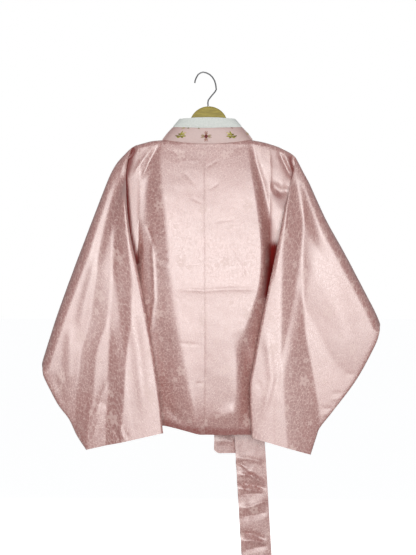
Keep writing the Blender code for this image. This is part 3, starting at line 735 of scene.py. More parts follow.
def finished(made, sockets):
    """Feeds the sockets of the material's surface."""
    fed(made.node_tree.nodes["Principled BSDF"], sockets)
    return made


def blossoms(across, along, repeat, radius, petals=5.0):
    """A mask of small open flowers on a half-drop repeat, in the cloth's own millimetres."""
    wide, tall = repeat
    row = worked("FLOOR", along / tall)
    shift = worked("MODULO", row, 2.0) * 0.5
    u = (worked("FRACT", across / wide + shift) - 0.5) * wide
    v = (worked("FRACT", along / tall) - 0.5) * tall
    far = worked("SQRT", u * u + v * v)
    lobe = worked("ABSOLUTE", worked("COSINE", worked("ARCTAN2", v, u) * (petals / 2)))
    inside = steps((lobe * 0.55 + 0.45) * radius - far, -0.3, 0.5)
    heart = steps(far - radius * 0.2, -0.2, 0.2)
    return inside * heart


def silk_material(name, satin_colour, figure_colour, damask=1.0, rough=0.355, lining=False,
                  shade_folds=False):
    """Satin with a woven ground of tiny dots and scattered blossoms, lighter than the satin."""
    made, tree = new_material(name)
    millimetres = node(tree, "ShaderNodeVectorMath", operation="SCALE")
    places = fed(millimetres, {0: own_cut(tree), "Scale": 1 / MM})
    apart = node(tree, "ShaderNodeSeparateXYZ")
    across = fed(apart, {0: places})
    along = Amount(apart.outputs[1])

    specks = steps(0.36 - cells_of(places, "F1", {"Scale": 0.25, "Randomness": 0.85}), 0.0, 0.12)
    meander = steps(0.10 - cells_of(places, "DISTANCE_TO_EDGE", {"Scale": 0.14}), 0.0, 0.06)
    large = blossoms(across, along, (97.0, 118.0), 11.0)
    small = blossoms(across + 31.0, along + 47.0, (61.0, 83.0), 6.0)
    woven = worked("ADD", specks * 0.72, meander * 0.45, clamp=True)
    figure = worked("MAXIMUM", woven, worked("MAXIMUM", large, small) * 0.75) * damask

    faded = tuple(part * 0.94 for part in satin_colour)
    ground = mixed(steps(noise_of(places, 0.010, 3.0), 0.35, 0.65), satin_colour, faded)
    colour = mixed(figure * 0.85, ground, figure_colour)
    if not lining:
        colour = mixed(own_mark(tree, "age_mark"), colour, AGED_GOLD)
    # Painted shade: dark red painted into deep folds and along the hem
    if shade_folds:
        colour = mixed(own_mark(tree, "painted_fold_dark"), colour, PAINTED_SHADE_RED)

    threads = fed(node(tree, "ShaderNodeCombineXYZ"), {0: across * 2.6, 1: along * 0.16})
    satin = noise_of(threads, 1.0)
    crumpled = noise_of(places, 0.09, 4.0, 0.55)
    finished(made, {
        "Base Color": colour,
        "Roughness": satin * 0.12 + rough + figure * 0.16,
        "Normal": bumps(satin * 0.035 + figure * 0.05 + crumpled * 0.14, 0.55, MM),
        "IOR": 2.0,
        "Specular IOR Level": 1.0,
        "Sheen Weight": 0.12,
        "Sheen Roughness": 0.4,
        "Sheen Tint": (1.0, 0.86, 0.82),
    })
    # Painted shade: the gloss is dimmed where the fold shade is painted
    if shade_folds:
        gloss_left_by_shade = worked("SUBTRACT", 1.0, own_mark(tree, "painted_fold_dark"), clamp=True)
        finished(made, {"Specular IOR Level": gloss_left_by_shade})
    return made


def cotton_material():
    """White plain-woven cotton over stiff paper."""
    made, tree = new_material("white collar cotton")
    cut = own_cut(tree)
    weave = bands_of(cut, "X", 320.0, 0.6) + bands_of(cut, "Y", 320.0, 0.6)
    slub = noise_of(cut, 260.0, 3.0)
    return finished(made, {
        "Base Color": mixed(steps(slub, 0.3, 0.7), (0.72, 0.76, 0.725), (0.80, 0.83, 0.80)),
        "Roughness": 0.62,
        "Sheen Weight": 0.1,
        "Normal": bumps(weave * 0.3 + slub, 0.35, 0.3 * MM),
    })


def thread_material(name, colour, dark):
    """Floss laid side by side in satin stitch, on the motif's own UV map."""
    made, tree = new_material(name)
    laid = own_cut(tree)
    return finished(made, {
        "Base Color": mixed(steps(noise_of(laid, 400.0), 0.35, 0.65), dark, colour),
        "Roughness": 0.38,
        "Sheen Weight": 0.3,
        "Normal": bumps(bands_of(laid, "X", 700.0, 1.5), 0.5, 0.2 * MM),
    })


def wood_material():
    """Pale wood with fine grain along the arms, under a thin satin varnish."""
    made, tree = new_material("varnished pale wood")
    mapping = node(tree, "ShaderNodeMapping")
    grown = fed(mapping, {"Vector": own_place(tree), "Scale": (14.0, 60.0, 90.0)})
    grain = noise_of(grown, 3.0, 6.0, 0.65)
    pores = noise_of(grown, 22.0, 3.0, 0.6)
    colour = mixed(steps(grain, 0.35, 0.68), (0.32, 0.25, 0.045), (0.46, 0.375, 0.075))
    return finished(made, {
        "Base Color": mixed(steps(pores, 0.55, 0.75) * 0.35, colour, (0.20, 0.15, 0.05)),
        "Roughness": grain * 0.2 + 0.34,
        "Specular IOR Level": 0.3,
        "Coat Weight": 0.08,
        "Coat Roughness": 0.25,
        "Normal": bumps(pores, 0.25, 0.4 * MM),
    })


def steel_material():
    """Drawn steel wire with fine marks round it and a little dulling."""
    made, tree = new_material("drawn steel wire")
    places = own_place(tree)
    dull = steps(noise_of(places, 60.0), 0.3, 0.7)
    return finished(made, {
        "Base Color": mixed(dull, (0.46, 0.46, 0.47), (0.30, 0.30, 0.31)),
        "Metallic": 1.0,
        "Roughness": noise_of(places, 900.0, 3.0) * 0.25 + 0.22,
    })


def lay_out(grid, around):
    """The cloth's own metres: across each row from its middle, down the middle column."""
    looped = np.concatenate([grid, grid[:, :1]], axis=1) if around else grid
    step = np.linalg.norm(np.diff(looped, axis=1), axis=2)
    across = np.concatenate([np.zeros((len(grid), 1)), np.cumsum(step, axis=1)], axis=1)
    across -= across[:, -1:] / 2
    return across * MM, -travelled(looped[:, looped.shape[1] // 2]) * MM


def mesh_from(name, points, faces, uvs, materials, marks=None):
    mesh = bpy.data.meshes.new(name)
    mesh.from_pydata((np.asarray(points) * MM).tolist(), [], faces)
    layer = mesh.uv_layers.new(name="Cut")
    layer.data.foreach_set("uv", np.asarray(uvs, np.float32).ravel())
    for key, values in (marks or {}).items():
        mark = mesh.attributes.new(key, "FLOAT", "POINT")
        mark.data.foreach_set("value", np.ravel(values).astype(np.float32))
    for each in materials:
        mesh.materials.append(each)
    mesh.shade_smooth()
    made = bpy.data.objects.new(name, mesh)
    bpy.context.scene.collection.objects.link(made)
    return made


def apply_modifiers(piece):
    bpy.ops.object.select_all(action="DESELECT")
    bpy.context.view_layer.objects.active = piece
    piece.select_set(True)
    for modifier in list(piece.modifiers):
        bpy.ops.object.modifier_apply(modifier=modifier.name)
    piece.select_set(False)


def modified(piece, name, kind, **settings):
    """Adds a modifier with these settings and applies it."""
    modifier = piece.modifiers.new(name, kind)
    for key, value in settings.items():
        setattr(modifier, key, value)
    apply_modifiers(piece)


def cloth(name, grid, materials, around=False, flip=False, thickness=CLOTH, even=True,
          marks=None, uv=None):
    """A sewn piece: the grid is its outer face, the lining faces inwards, raw edges are closed."""
    grid = np.asarray(grid)
    rows, columns = grid.shape[:2]
    across, along = uv if uv else lay_out(grid, around)
    faces, uvs = [], []
    for i in range(rows - 1):
        for j in range(columns if around else columns - 1):
            after = (j + 1) % columns
            corners = [(i, j, j), (i, after, j + 1), (i + 1, after, j + 1), (i + 1, j, j)]
            if flip:
                corners.reverse()
            faces.append([a * columns + b for a, b, _ in corners])
            uvs += [(across[a, c], along[a]) for a, _, c in corners]
    made = mesh_from("silk_" + name, grid.reshape(-1, 3), faces, uvs, materials, marks)
    modified(made, "Cloth thickness", "SOLIDIFY", thickness=thickness * MM, offset=-1.0,
             use_even_offset=even, material_offset=len(materials) - 1)
    made.data.set_sharp_from_angle(angle=SHARP_EDGE)
    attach(made, "root")
    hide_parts(name)
    return made


def flare_share(x):
    """How much of the side seam's flare a column takes: none near the centre seam."""
    return np.maximum(np.abs(x - CENTRE_BACK) / ARMHOLE_HALF - FLARE_FROM, 0) / (1 - FLARE_FROM)


def body_panel(name, depth, top, bottom, columns_at, materials, rows_below, facing_back=False,
               creases=FRONT_CREASES, shade_folds=()):
    """A panel whose columns start at these distances and flare towards the side seam."""
    x = np.array(columns_at, float)
    start, end = top(x), bottom(x)
    rolled_part = start - SHOULDER_ROLL
    rows = [start - share * SHOULDER_ROLL for share in SHOULDER_ROWS]
    rows += [rolled_part + (end - rolled_part) * step / rows_below
             for step in range(1, rows_below + 1)]
    z = np.array(rows)
    spread = (side_edge(z) - SEAM_GAP / 2) / (ARMHOLE_HALF - SEAM_GAP / 2)
    placed = CENTRE_BACK + (x - CENTRE_BACK) * (1 + (spread - 1) * flare_share(x))
    y = depth(placed, z)
    outward = 1 if facing_back else -1
    fade = outward * eased((start - z) / 14.0)
    seen_x, seen_z = seen_place(placed, y, z)
    y = y + fade * crease_height(creases, seen_x, seen_z)
    y = y + fade * crumple(BODY_CRUMPLE, placed, 0 * z, z)
    centre_gap = np.abs(placed - CENTRE_BACK)
    side_gap = np.abs(side_edge(z) - centre_gap)
    for gap, dip, width in ((centre_gap, 0.3, 1.3), (side_gap, 0.4, 2.0)):
        y = y - fade * dip * np.exp(-((gap / width) ** 1.5))
    y = np.maximum(y, SEAM_GAP) if facing_back else np.minimum(y, -SEAM_GAP)
    # painted shade in deep folds and along the hem, kept as a mark on the cloth
    marks = {"age_mark": 0 * z, "painted_fold_dark": spot_strength(shade_folds, SHADE_SPOT_CORE, seen_x, seen_z)}
    rising = columns_at[-1] > columns_at[0]
    return cloth(name, np.stack([placed, y, z], axis=2), materials, flip=rising != facing_back,
                 marks=marks, uv=(placed * MM, z[:, len(x) // 2] * MM))


def make_back(materials):
    """Two panels that meet at the centre seam and pass up over the hanger's arms."""
    def top(x):
        inside = np.abs(x - NECK_CENTRE) < NECK_HALF_WIDTH - 0.01
        return np.where(inside, neck_z(x) - SEAM_GAP * 1.5, shoulder_z(x))

    def bottom(x):
        spread = 1 + (HEM_HALF / ARMHOLE_HALF - 1) * flare_share(x)
        return along_x(HEM_LINE, CENTRE_BACK + (x - CENTRE_BACK) * spread)

    pieces = []
    for side, name in ((1, "back_left"), (-1, "back_right")):
        start = CENTRE_BACK + side * SEAM_GAP / 2
        neck_end = NECK_CENTRE + side * NECK_HALF_WIDTH
        edge = CENTRE_BACK + side * (ARMHOLE_HALF - SEAM_GAP / 2)
        places = list(np.linspace(start, neck_end, 40)) + list(np.linspace(neck_end, edge, 22)[1:])

        def depth(x, z, left=side > 0):
            return back_depth(x, z, left)

        pieces.append(body_panel(name, depth, top, bottom, places, materials, facing_back=True,
                                 rows_below=230, creases=BACK_CREASES, shade_folds=PAINTED_SHADE_SPOTS))
    return pieces


def make_fronts(materials):
    """The right front lies inside, the left front laps over it, each with its gusset."""
    def bottom(x):
        return FRONT_HEM_Z + 0 * x

    pieces = []
    for side, front, gusset in ((1, "front_left", "gusset_outer"), (-1, "front_right", "gusset_inner")):
        outer = side > 0
        near = NECK_POINT_X
        low = NECK_POINT_X + FRONT_RUN[0]
        end = COLLAR_TOP_X + FRONT_RUN_TOP[0]
        if not outer:
            near, low, end = mirrored(near), mirrored(low), mirrored(end)

        def top(x, outer=outer, near=near, side=side):
            over_shoulder = side * (x - near) > -0.01
            return np.where(over_shoulder, shoulder_z(x), front_neck_z(x, outer) - SEAM_GAP * 3)

        def depth(x, z, outer=outer):
            return front_depth(x, z, outer)

        edge = CENTRE_BACK + side * (ARMHOLE_HALF - SEAM_GAP / 2)
        centre = side * SEAM_GAP / 2
        places = list(np.linspace(edge, near, 18)) + list(near - side * np.array((0.9, 3.0, 6.0)))
        places += list(np.linspace(places[-1], CENTRE_BACK + centre, 32)[1:])
        pieces.append(body_panel(front, depth, top, bottom, places, materials, rows_below=150))
        places = list(np.linspace(CENTRE_BACK - centre, low, 20)) + list(np.linspace(low, end, 12)[1:])
        pieces.append(body_panel(gusset, depth, top, bottom, places, materials, rows_below=110))
    return pieces


def patch(start, end, first, last, across, along):
    """Coons patch: start and end curves run across, first and last curves run along."""
    grid = []
    for j, k in enumerate(across):
        line = []
        for i, s in enumerate(along):
            ruled = (1 - s) * start[j] + s * end[j] + (1 - k) * first[i] + k * last[i]
            near = (1 - k) * start[0] + k * start[-1]
            far = (1 - k) * end[0] + k * end[-1]
            line.append(ruled - (1 - s) * near - s * far)
        grid.append(np.array(line))
    return grid


def distance_to(curve, points):
    starts = curve[:-1]
    run = curve[1:] - starts
    rel = points[:, None, :] - starts[None]
    share = np.clip(np.sum(rel * run, axis=2) / np.sum(run * run, axis=1), 0, 1)
    gaps = np.linalg.norm(rel - run * share[:, :, None], axis=2)
    return gaps.min(axis=1)


def smoothed(field, times):
    for _ in range(times):
        wide = np.pad(field, ((1, 1), (1, 1), (0, 0)), mode="edge")
        field = (2 * wide[1:-1, 1:-1] + wide[:-2, 1:-1] + wide[2:, 1:-1]
                 + wide[1:-1, :-2] + wide[1:-1, 2:]) / 6
    return field


def sleeve_halves(shape, outward, across, top, drop, dense):
    """The sleeve before and after its fold, line by line across, and the fold itself."""
    armhole_x = CENTRE_BACK + outward * (ARMHOLE_HALF + SEAM_GAP / 2)
    fold_seen = spline(shape["fold"], across)
    slope = np.gradient(fold_seen, across, axis=0)
    inward = np.column_stack([slope[:, 1], -slope[:, 0]]) * outward
    inward /= np.linalg.norm(inward, axis=1)[:, None]
    fold = fold_seen + inward * (FOLD_INSET * np.sin(np.pi * across) ** 0.5)[:, None]
    between = [place for place in sorted(SHOULDER_LINE, key=lambda place: outward * place[0])
               if outward * armhole_x + 3 < outward * place[0] < outward * fold[0][0] - 3]
    shoulder = spline([(armhole_x, top), *between, tuple(fold[0])], dense)
    eased_out = outward * UNDERARM_EASE * eased((across - 0.9) / 0.1)
    armhole = np.column_stack([armhole_x + eased_out, top - across * drop])
    under = spline([tuple(armhole[-1]), *shape["under"], tuple(fold[-1])], dense)
    root = patch(armhole, fold, shoulder, under, across, dense)
    inner, outer = spline(shape["inner"], dense), spline(shape["outer"], dense)
    cuff = np.array([inner[-1] + (outer[-1] - inner[-1]) * k for k in across])
    return root, patch(fold, cuff, inner, outer, across, dense), fold


def sleeve_surface(side, interior, root_rows, flap_rows):
    """The sleeve's middle surface and half thickness, row by row from armhole to cuff."""
    shape = LEFT_SLEEVE if side == "left" else RIGHT_SLEEVE
    outward = 1 if side == "left" else -1
    depth_at_armhole = ARMHOLE_DEPTH_LEFT if side == "left" else ARMHOLE_DEPTH_RIGHT
    top = float(shoulder_z(CENTRE_BACK + outward * (ARMHOLE_HALF + SEAM_GAP / 2)))
    drop = top - UNDERARM_Z
    top_roll = SHOULDER_ROLL / drop
    low_roll = UNDER_SEAM_ROLL / drop
    across = np.r_[np.array([0, 0.03, 0.1, 0.22, 0.4, 0.62, 0.82]) * top_roll,
                   np.linspace(top_roll, 1 - low_roll, interior),
                   1 - np.array([0.6, 0.3, 0.12, 0.03, 0]) * low_roll]
    dense = np.linspace(0, 1, 121)
    root, flap, fold = sleeve_halves(shape, outward, across, top, drop, dense)

    turn = np.radians(np.arange(90, 0, -10))
    lines = []
    for j, k in enumerate(across):
        bend = shape["bend"][0] + (shape["bend"][1] - shape["bend"][0]) * eased(k / 0.4)
        near = bend * (1 - np.cos(turn))
        root_gap = np.maximum.accumulate(distance_to(fold, root[j])[::-1])
        flap_gap = np.maximum.accumulate(distance_to(fold, flap[j]))
        start = 1 - np.interp(bend, root_gap, dense)
        root_shares = np.r_[np.linspace(0, start, root_rows, endpoint=False),
                            1 - np.interp(near, root_gap, dense), 1.0]
        reached = np.interp(bend, flap_gap, dense)
        flap_shares = np.r_[np.interp(near[::-1], flap_gap, dense),
                            np.linspace(reached, 1, flap_rows + 1)[1:]]
        path = np.vstack([resampled(root_shares, dense, root[j]),
                          resampled(flap_shares, dense, flap[j])])
        x, z = path.T
        on_flap = np.arange(len(path)) >= len(root_shares)
        gap = distance_to(fold, path)
        rise = bend * rolled(gap / bend)
        target = column(FLAP_DEPTH, z, 1) * (1 - k) + column(FLAP_DEPTH, z, 2) * k
        flap_y = bend + rise + (np.maximum(target, 2 * bend) - 2 * bend) * eased(gap / DEPTH_RUN)
        y = np.where(on_flap, flap_y, bend - rise)
        puff = SLEEVE_PUFF[0] + SLEEVE_PUFF[1] * (4 * k * (1 - k)) ** 0.7
        thin = 0.55 * puff + 1.2
        armhole_half = float(column(depth_at_armhole, top - k * drop, 1, 3.0))
        reach = eased(np.r_[root_shares, flap_shares] ** 1.4)
        half = np.where(on_flap, thin + 0.45 * puff * eased((gap - bend) / PUFF_RUN),
                        armhole_half + (thin - armhole_half) * reach)
        roll = np.where(on_flap, top_roll * (1 - 0.6 * eased(gap / PUFF_RUN)), top_roll)
        half = half * rolled(k / roll) * rolled((1 - k) / low_roll)
        lines.append(np.column_stack([x, z, y, half, on_flap, gap, 0 * x + bend]))
    x, z, y, half, on_flap, gap, bend = np.array(lines).transpose(2, 1, 0)
    on_flap = on_flap > 0.5
    creases = [row[1:] for row in FLAP_CREASES if row[0] == side]
    lift = crease_height(creases, x, z) * eased((gap - bend) / CREASE_RUN) * on_flap
    lift = lift + crease_height(BACK_CREASES, x, z) * (1 - on_flap) * eased(gap / 20.0)
    lift = lift * eased(across / 0.05) * (0.35 + 0.65 * eased((1 - across) / 0.05))
    raised, lowered = terrace_height(side, x, z)
    bands = raised * eased((gap - bend) / RAISED_RUN)
    bands = bands - lowered * np.clip((gap - bend) / LOWERED_RUN, 0, 1)
    lift = lift + bands * on_flap
    far_x, far_z = true_place(x, z, np.where(on_flap, y + half, y))
    moved = np.where(on_flap, 1.0, eased(1 - gap / 60.0))
    surface = np.stack([x + (far_x - x) * moved, y, z + (far_z - z) * moved, half], axis=2)
    return soft_corner(surface, across, root_rows), lift, x, z, on_flap


def soft_corner(surface, across, first_row):
    """Rounds the tight corner where the top fold turns back over the shoulder."""
    strength = (0.5 * eased((0.16 - across) / 0.16))[None, :, None]
    rows = slice(first_row - 3, first_row + 30)
    for _ in range(60):
        between = (surface[first_row - 4:first_row + 29] + surface[first_row - 2:first_row + 31]) / 2
        surface[rows] += (between - surface[rows]) * strength
    return surface


def make_sleeve(side, materials):
    """A flattened tube round the middle surface, closed along its top fold and its under seam."""
    surface, lift, x, z, on_flap = sleeve_surface(side, interior=54, root_rows=26, flap_rows=84)
    middle, half = surface[:, :, :3], surface[:, :, 3]
    normal = np.cross(np.gradient(middle, axis=0), np.gradient(middle, axis=1))
    normal = normal * (1 if side == "left" else -1)
    normal /= np.maximum(np.linalg.norm(normal, axis=2), 1e-9)[:, :, None]
    normal[:, :8] = normal[:, 8:9]
    normal = smoothed(normal, 8)
    normal /= np.linalg.norm(normal, axis=2)[:, :, None]
    ripple = crumple(SLEEVE_CRUMPLE[side], x, 0 * half, z)
    shift = (lift + ripple * np.minimum(half / 2.5, 1.0)) * np.where(on_flap, -1.0, 1.0)
    back = middle + normal * (half + shift)[:, :, None]
    front = middle - normal * (half - 0.8 * shift)[:, :, None]
    grid = np.concatenate([back, front[:, -2:0:-1]], axis=1)
    # Golden age marks on the flap, and painted shade in the deep folds of the root
    marks = {"age_mark": spot_strength(AGE_MARKS, MARK_CORE, x, z) * on_flap,
             "painted_fold_dark": spot_strength(PAINTED_SHADE_SPOTS, SHADE_SPOT_CORE, x, z) * (1 - on_flap)}
    for name, strength in marks.items():
        marks[name] = np.concatenate([strength, 0 * strength[:, -2:0:-1]], axis=1)
    return cloth("sleeve_" + side, grid, materials, around=True, flip=side == "left", even=False,
                 marks=marks)


def collar_lines(fine):
    """Stations from the inner end over the neck to the outer end: seam points, top points."""
    shares = [0, 0.003, 0.006, 0.012, 0.02, 0.032, 0.044, 0.066] + list(np.linspace(0.092, 1, fine))
    runs = []
    for outer in (False, True):
        run = []
        for share in shares:
            x, top_x = NECK_POINT_X + FRONT_RUN[0] * share, COLLAR_TOP_X + FRONT_RUN_TOP[0] * share
            z, top_z = NECK_POINT_Z + FRONT_RUN[1] * share, COLLAR_TOP_Z + FRONT_RUN_TOP[1] * share
            if not outer:
                x, top_x = mirrored(x), mirrored(top_x)
            y = float(front_depth(x, z, outer))
            top_y = float(front_depth(top_x, min(top_z, -168.0), outer)) * float(rolled(share / 0.12))
            run.append(((x, y, z), (top_x, top_y, top_z)))
        runs.append(run)
    neck = []
    for turn in np.radians(np.linspace(-84, 84, 2 * fine)):
        x = NECK_CENTRE + NECK_HALF_WIDTH * math.sin(turn)
        z = float(neck_z(x))
        top_x = NECK_CENTRE + COLLAR_TOP_HALF * math.sin(turn)
        top_z = COLLAR_TOP_Z + 2.5 * math.cos(turn) ** 2
        neck.append(((x, float(back_depth(x, z, x > CENTRE_BACK)), z),
                     (top_x, COLLAR_STAND_Y * math.cos(turn), top_z)))
    stations = np.array(runs[0][::-1] + neck + runs[1])
    return stations[:, 0], stations[:, 1]


def collar_normals(seams, tops):
    """Which way the collar faces at each station: away from the neck."""
    normal = np.cross(tops - seams, np.gradient(seams + tops, axis=0))
    normal /= np.linalg.norm(normal, axis=1)[:, None]
    return normal if normal[len(normal) // 2, 1] >= 0 else -normal


def collar_grid(seams, tops, shares, lift):
    """Points between the neck seam and the top edge, lifted off the straight line by lift(share)."""
    normal = collar_normals(seams, tops)[:, None]
    base = seams[:, None] + (tops - seams)[:, None] * shares[None, :, None]
    return base + normal * np.array([lift(share) for share in shares])[None, :, None], normal


def make_collar(seams, tops, materials, white):
    """The band is crowned between its seams; the white strip laps over its upper edge."""
    def band_lift(share):
        inside = min(share, BAND_SHARE - share) / BAND_SHARE
        crown = 0.8 * math.sin(math.pi * min(max(share / BAND_SHARE, 0), 1))
        return float(rolled(inside / 0.06)) + crown

    shares = np.r_[0, 0.004, 0.012, 0.024, np.linspace(0.04, BAND_SHARE - 0.03, 14),
                   BAND_SHARE - 0.016, BAND_SHARE - STRIP_SEAM]
    grid, normal = collar_grid(seams, tops, shares, band_lift)
    flat = np.abs(shares - BAND_SHARE / 2) < BAND_SHARE * 0.4
    soft = crumple(BAND_CRUMPLE, grid[:, :, 0], grid[:, :, 1], grid[:, :, 2]) * flat
    band = cloth("collar_band", grid + normal * soft[:, :, None], materials)

    def strip_lift(share):
        rise = float(rolled((share - BAND_SHARE) / 0.03))
        return 0.5 + 0.8 * rise + 0.4 * math.sin(math.pi * (share - BAND_SHARE) / STRIP_SHARE)

    shorter = slice(STRIP_ENDS, -STRIP_ENDS)
    shares = np.r_[BAND_SHARE - 0.012, BAND_SHARE, BAND_SHARE + 0.014,
                   np.linspace(BAND_SHARE + 0.04, 0.96, 9), 0.985, 1.0]
    grid, normal = collar_grid(seams[shorter], tops[shorter], shares, strip_lift)
    x, y, z = grid[:, :, 0], grid[:, :, 1], grid[:, :, 2]
    beside = x - STRIP_JOIN_X
    step = STRIP_JOIN / (1 + np.exp(-(beside - (z + 115) * 0.25)))
    join = step * np.exp(-((beside / 30.0) ** 2) * (beside > 0)) * (y > 0)
    strip = cloth("collar_strip", grid + normal * join[:, :, None], [white, white],
                  thickness=STRIP_CLOTH)
    return band, strip


def make_ribbon(which, materials):
    """A tail hangs from the knot, a little wavy, and is wider below the gather."""
    x_top, x_end, z_end, y, corner, rows = RIBBONS[which]
    z_top = KNOT_PLACE[2] - KNOT_SIZE[2] / 2 - SEAM_GAP
    share = np.linspace(0, 1, rows)[:, None]
    across = np.linspace(-1, 1, 26)[None, :]
    z = z_top + (z_end + corner * np.clip((across - 0.6) / 0.4, 0, 1) ** 2 - z_top) * share
    half = RIBBON_WIDTH / 2 * (0.5 + 0.5 * eased(share / 0.14))
    pleat = 2.0 * np.cos(across * math.pi * 2) * (1 - eased(share / 0.2))
    sway = 1.6 * np.sin(share * 9.0 + across * 0.8) + 6.0 * across * share
    x = x_top + (x_end - x_top) * share + half * across
    y = y + pleat + sway
    creases = [row[1:] for row in RIBBON_CREASES if row[0] == which]
    y = y + 1.7 * crease_height(creases, *seen_place(x, y, z))
    y = y + crumple(RIBBON_CRUMPLE, x, 0 * y, z)
    return cloth("ribbon_" + which, np.stack([x, y, z], axis=2), materials, thickness=RIBBON_CLOTH)


def make_loop(materials):
    """The bow's one loop, a band bent back on itself towards the wearer's left."""
    x_knot, y_knot, z_knot = KNOT_PLACE
    start = x_knot + KNOT_SIZE[0] / 2 + SEAM_GAP
    straight = LOOP_LENGTH - LOOP_RADIUS
    shares = np.linspace(0, 1, 34)
    turn = np.radians(np.arange(-80, 81, 10))
    under = np.column_stack([start + straight * shares, -LOOP_RADIUS - 2.5 * np.sin(np.pi * shares)])
    bend = np.column_stack([start + straight + LOOP_RADIUS * np.cos(turn), LOOP_RADIUS * np.sin(turn)])
    over = np.column_stack([start + straight * shares, LOOP_RADIUS + 1.5 * np.sin(np.pi * shares)])
    across = np.linspace(-1, 1, 22)
    grid = []
    for x, y in np.vstack([under, bend, over[::-1]]):
        out = float(eased((x - start) / 45.0))
        half = 18.0 + 12.0 * out
        sag = -0.2 * (x - start)
        pleat = 1.4 * np.cos(across * math.pi * 2.5) * (1 - out) * (-1 if y < 0 else 1)
        grid.append(np.column_stack([x + 0 * across, y_knot + y + pleat,
                                     z_knot + sag + half * across]))
    return cloth("ribbon_loop", grid, materials, thickness=RIBBON_CLOTH)


def make_knot(materials):
    """Ribbon wrapped round where the ends cross: a soft block with pressed diagonal folds."""
    centre = Vector(KNOT_PLACE) * MM
    bpy.ops.object.select_all(action="DESELECT")
    bpy.ops.mesh.primitive_cube_add(size=1, location=centre)
    knot = bpy.context.object
    knot.name = knot.data.name = "silk_ribbon_knot"
    knot.scale = [side * MM for side in KNOT_SIZE]
    bpy.ops.object.transform_apply(location=True, rotation=True, scale=True)
    modified(knot, "Soft edges", "BEVEL", width=8 * MM, segments=4)
    modified(knot, "Fine", "REMESH", mode="VOXEL", voxel_size=1.1 * MM)
    for vertex in knot.data.vertices:
        away = (vertex.co - centre) / MM
        along = (away.x * 0.5 + away.z * 0.87) / 46.0
        press = 1.1 * math.cos(along * 19.0 + 0.8 * math.sin(away.x / 12.0)) - 0.9
        vertex.co.y += press * MM * (-1 if away.y < 0 else 1) * 0.9
    layer = knot.data.uv_layers.new(name="Cut")
    for loop in knot.data.loops:
        place = knot.data.vertices[loop.vertex_index].co
        layer.data[loop.index].uv = (place.x + place.y * 0.7, place.z)
    knot.data.materials.append(materials[0])
    knot.data.shade_smooth()
    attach(knot, "root")
    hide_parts("ribbon_knot")
    return knot


def choose_faces(piece, wanted):
    """In edit mode, only the faces that are wanted are selected."""
    bpy.ops.object.mode_set(mode="EDIT")
    bpy.ops.mesh.select_mode(type="FACE")
    bpy.ops.mesh.select_all(action="DESELECT")
    bpy.ops.object.mode_set(mode="OBJECT")
    for face in piece.data.polygons:
        face.select = wanted(face)
    bpy.ops.object.mode_set(mode="EDIT")


def arm_stations(side):
    """Sections of an arm from the head out to its rounded tip: x, middle, height, thickness."""
    arm = np.array(HANGER_ARM[::-1], float)
    for away in list(np.linspace(24, 163, 40)) + [164.5, 165.6, 166.3, 166.8]:
        top, height, half = [averaged(away, arm[:, 0], arm[:, part], 4, 5) for part in (1, 2, 3)]
        rounding = math.sqrt(max(1 - max((away - 161.0) / 6.0, 0) ** 2, 0.02))
        middle = top + side * away * HANGER_TILT - height / 2
        yield HEAD_CENTRE[0] + side * away, middle, height * rounding, 2 * half * rounding


def add_cylinder(vertices, radius, depth, x, z, turned):
    """A cylinder at the hanger's plane, turned from upright, left as the object in hand."""
    bpy.ops.object.select_all(action="DESELECT")
    bpy.ops.mesh.primitive_cylinder_add(vertices=vertices, radius=radius, depth=depth,
                                        location=(x * MM, 0, z * MM), rotation=turned)
    return bpy.context.object


def make_hanger(wood):
    """A bar with two shaped arms, and a thick round head with a rounded rim joined to it."""
    centre_x, centre_z = HEAD_CENTRE
    start_x, start_z, height, thickness = next(arm_stations(1))
    bar = add_cylinder(40, 0.5, 1.0, centre_x, start_z, (0, QUARTER_TURN, 0))
    bar.name = bar.data.name = "wooden_hanger"
    bar.scale = (height * MM, thickness * MM, 2 * (start_x - centre_x) * MM)
    bpy.ops.object.transform_apply(location=True, rotation=True, scale=True)
    for side in (-1, 1):
        choose_faces(bar, lambda face: face.normal.x * side > 0.9)
        x, z, tall, thick = centre_x + side * (start_x - centre_x), start_z, height, thickness
        for new_x, new_z, new_tall, new_thick in arm_stations(side):
            new_x += side * 0.4
            bpy.ops.mesh.extrude_region_move(
                TRANSFORM_OT_translate={"value": ((new_x - x) * MM, 0, (new_z - z) * MM)})
            bpy.ops.transform.resize(value=(1, new_thick / thick, new_tall / tall),
                                     center_override=(new_x * MM, 0, new_z * MM))
            x, z, tall, thick = new_x, new_z, new_tall, new_thick
        bpy.ops.object.mode_set(mode="OBJECT")
    head = add_cylinder(128, HEAD_RADIUS * MM, HEAD_THICKNESS * MM, centre_x, centre_z,
                        (QUARTER_TURN, 0, 0))
    bpy.ops.object.transform_apply(location=True, rotation=True, scale=True)
    modified(head, "Rounded rim", "BEVEL", width=2.6 * MM, segments=5, limit_method="ANGLE")
    modified(bar, "Head", "BOOLEAN", operation="UNION", solver="EXACT", object=head)
    bpy.data.objects.remove(head)
    bar.data.materials.clear()
    bar.data.materials.append(wood)
    bar.select_set(True)
    bpy.ops.object.shade_smooth_by_angle(angle=math.radians(35))
    bar.select_set(False)
    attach(bar, "root")
    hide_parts("hanger_bar")


def band_place(seams, tops, along, across):
    """Points on the band and which way it faces there: along from its middle, up from its seam."""
    middle = seams + (tops - seams) * BAND_SHARE * 0.5
    length = travelled(middle)
    behind = slice(len(seams) // 2 - 25, len(seams) // 2 + 25)
    wanted = np.interp(MOTIF_CENTRE, middle[behind, 0], length[behind]) + along
    known = (seams, tops, collar_normals(seams, tops))
    seam, top, out = [resampled(wanted, length, line) for line in known]
    width = np.linalg.norm(top - seam, axis=1)
    return seam + (top - seam) * (across / width)[:, None], out


